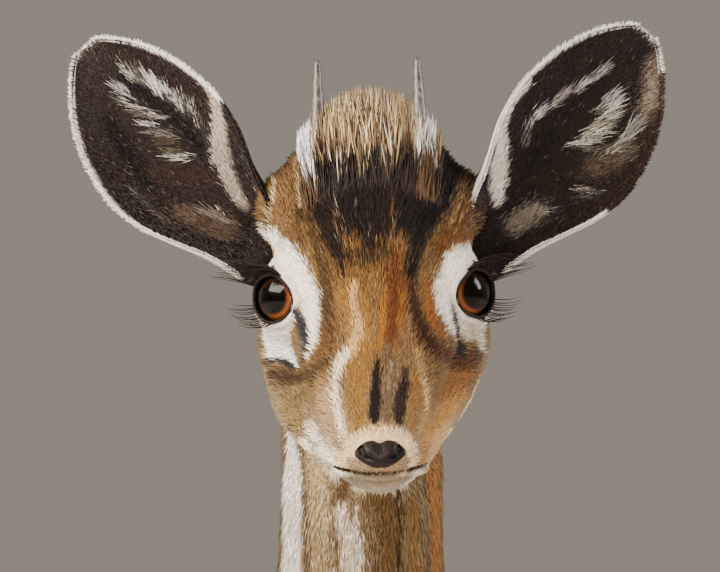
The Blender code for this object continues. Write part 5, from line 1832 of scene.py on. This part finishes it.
def wet_eye():
    """Living eye under a wet clear cornea: black pupil and fibrous amber iris, with painted light on the
    iris on the nose's side and painted shade away from it.
    """
    made, tree, shader = material(
        "wet_eye", Roughness=0.3, IOR=1.34, Specular_IOR_Level=0.05, Coat_Weight=0.45, Coat_IOR=1.34,
        Coat_Roughness=0.01,
    )
    off, ray_x, ray_y = (attribute(tree, name)["Fac"] for name in ("off_axis", "round_x", "round_y"))
    spokes = node(tree, "CombineXYZ", inputs={"X": ray_x, "Y": ray_y}).outputs["Vector"]
    fibre = node(tree, "TexNoise", inputs={"Vector": spokes, "Scale": 14.0, "Detail": 3.0}).outputs["Fac"]
    added = {"operation": "MULTIPLY_ADD"}
    wander = node(tree, "Math", added, {0: fibre, 1: 0.5, 2: off}).outputs["Value"]
    colour = ramp(tree, ranged(tree, wander, (0.25, 0.25 + IRIS_FULL), (0, 1)), (
        (0.0, "#030202"),
        (PUPIL_RADIUS / IRIS_FULL, "#050303"),
        ((PUPIL_RADIUS + 0.35) / IRIS_FULL, "#3E1E0C"),
        ((PUPIL_RADIUS + 1.0) / IRIS_FULL, "#844519"),
        ((IRIS_RADIUS - 0.3) / IRIS_FULL, "#5A2B10"),
        ((IRIS_RADIUS + 0.3) / IRIS_FULL, "#110A07"),
        (1.0, "#140D0A"),
    ))
    # Painted light and shade: the iris is brightest on the nose's side and lower down, and dimmed to near
    # black away from them
    iris_painted_light = node(tree, "Math", added, {0: ray_y, 1: -0.35, 2: ray_x}).outputs["Value"]
    tone = dimmed(tree, colour, ranged(tree, iris_painted_light, (-0.1, 0.9), (0.08, 0.85)))
    tree.links.new(tone, shader.inputs["Base Color"])
    return made


def finished(piece, surface, slot, *nodes):
    """Brings a piece over the origin, gives it its material, and makes it ride and stand in for nodes."""
    piece.data.transform(Matrix.Translation(Vector(SHIFT) * MM))
    piece.data.materials.clear()
    piece.data.materials.append(surface)
    piece.data.shade_smooth()
    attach(piece, "root")
    if nodes:
        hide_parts(*nodes)


def dress():
    """Makes every piece of the animal."""
    coat_hair = hair_keratin("coat_hair_keratin", 0.55, 1.6, 0.14)
    ear_hair = hair_keratin("ear_hair_keratin", 0.5, 1.4, 0.16)
    hide = hide_skin()
    lid = lid_leather()
    keratin = hoof_keratin()

    skin = make_skin()
    tree = tree_of(skin)
    strokes = strokes_on(tree, MARKS)
    for side in SIDES.values():
        cut(skin, lid_cutter(side))
        cut(skin, ellipsoid("socket", (0, 0, 0), (EYE_RADIUS + 0.15,) * 3, eye_frame(side), 64, 40))
    cut(skin, nose_shape("nose_room", grow=-0.25, segments=40, rings=24))
    points, _ = points_of(skin.data)
    ground = coat_at(points)[:, 6:9]
    tint(skin.data, markings(points, ground, strokes, np.zeros(len(points))))
    for piece in grow_coat(skin, strokes):
        finished(piece, coat_hair, "coat")
    finished(grow_crest(tree), coat_hair, "coat")
    finished(
        skin, hide, "coat", "head", "jaw", "neck", "torso", "tail",
        "foreleg_left", "foreleg_right", "hindleg_left", "hindleg_right",
    )

    eye = wet_eye()
    horn = horn_keratin()
    finished(make_nose(), nose_leather(), "nose", "nose")
    for side_name in SIDES:
        ear, ear_tree, ear_strokes = make_ear(side_name)
        fur, rng = grow_ear(side_name, ear_strokes)
        finished(fur, ear_hair, "ear_coat")
        finished(grow_streaks(side_name, ear_tree, rng), ear_hair, "ear_coat")
        finished(ear, hide, "ear_coat", f"ear_{side_name}")
        finished(make_eye(side_name), eye, "eye", f"eye_{side_name}")
        finished(make_lids(side_name, tree), lid, "eye")
        finished(make_lashes(side_name), lid, "coat")
        finished(make_horn(side_name), horn, "horn", f"horn_{side_name}")
    for pair, side_name in STRIDE:
        for toe_name, toe in (("outer", SIDES[side_name]), ("inner", -SIDES[side_name])):
            ending = f"{pair}_{side_name}_{toe_name}"
            finished(make_hoof(pair, side_name, toe_name, toe), keratin, "hoof", f"hoof_{ending}")
            claw = bpy.data.objects[f"dewclaw_{ending}"]
            for index in range(max(1, len(claw.material_slots))):
                if index < len(claw.material_slots):
                    claw.material_slots[index].material = keratin
                else:
                    claw.data.materials.append(keratin)


def light(name, place, size, power, colour):
    """A soft oblong lamp, its size across and up in metres, turned to the head."""
    lamp = bpy.data.lights.new(name, "AREA")
    lamp.shape = "RECTANGLE"
    lamp.size, lamp.size_y = size
    lamp.energy = power
    lamp.color = tuple(linear(colour))
    holder = bpy.data.objects.new(name, lamp)
    bpy.context.scene.collection.objects.link(holder)
    holder.location = place
    holder.rotation_euler = (Vector(LIT_AT) - Vector(place)).to_track_quat("-Z", "Y").to_euler()


def set_stage():
    """Floor, soft light and the camera that looks the animal in the face."""
    mesh = bpy.data.meshes.new("floor")
    shape = bmesh.new()
    bmesh.ops.create_circle(shape, cap_ends=True, radius=FLOOR_RADIUS, segments=96)
    shape.to_mesh(mesh)
    shape.free()
    floor = object_of("floor", mesh)
    mesh.materials.append(floor_paint())

    world = bpy.data.worlds.new("studio")
    bpy.context.scene.world = world
    world.use_nodes = True
    background = world.node_tree.nodes["Background"]
    background.inputs["Color"].default_value = rgba(BACKDROP[0])
    background.inputs["Strength"].default_value = BACKDROP[1]
    for row in LAMPS:
        light(*row)

    sideways, height = in_picture(PICTURE[0] / 2, PICTURE[1] / 2)
    lens = bpy.data.cameras.new("camera")
    lens.sensor_width = SENSOR
    lens.lens = SENSOR * CAMERA_AWAY / (PICTURE[0] * PIXEL * MM)
    lens.clip_start = 0.1
    lens.clip_end = 50.0
    camera = bpy.data.objects.new("camera", lens)
    bpy.context.scene.collection.objects.link(camera)
    ahead = (EYE_FORWARD + SHIFT[1]) * MM - CAMERA_AWAY
    camera.location = ((sideways + SHIFT[0]) * MM, ahead, height * MM)
    camera.rotation_euler = (math.radians(90), 0, 0)
    bpy.context.scene.camera = camera


set_stage()
dress()
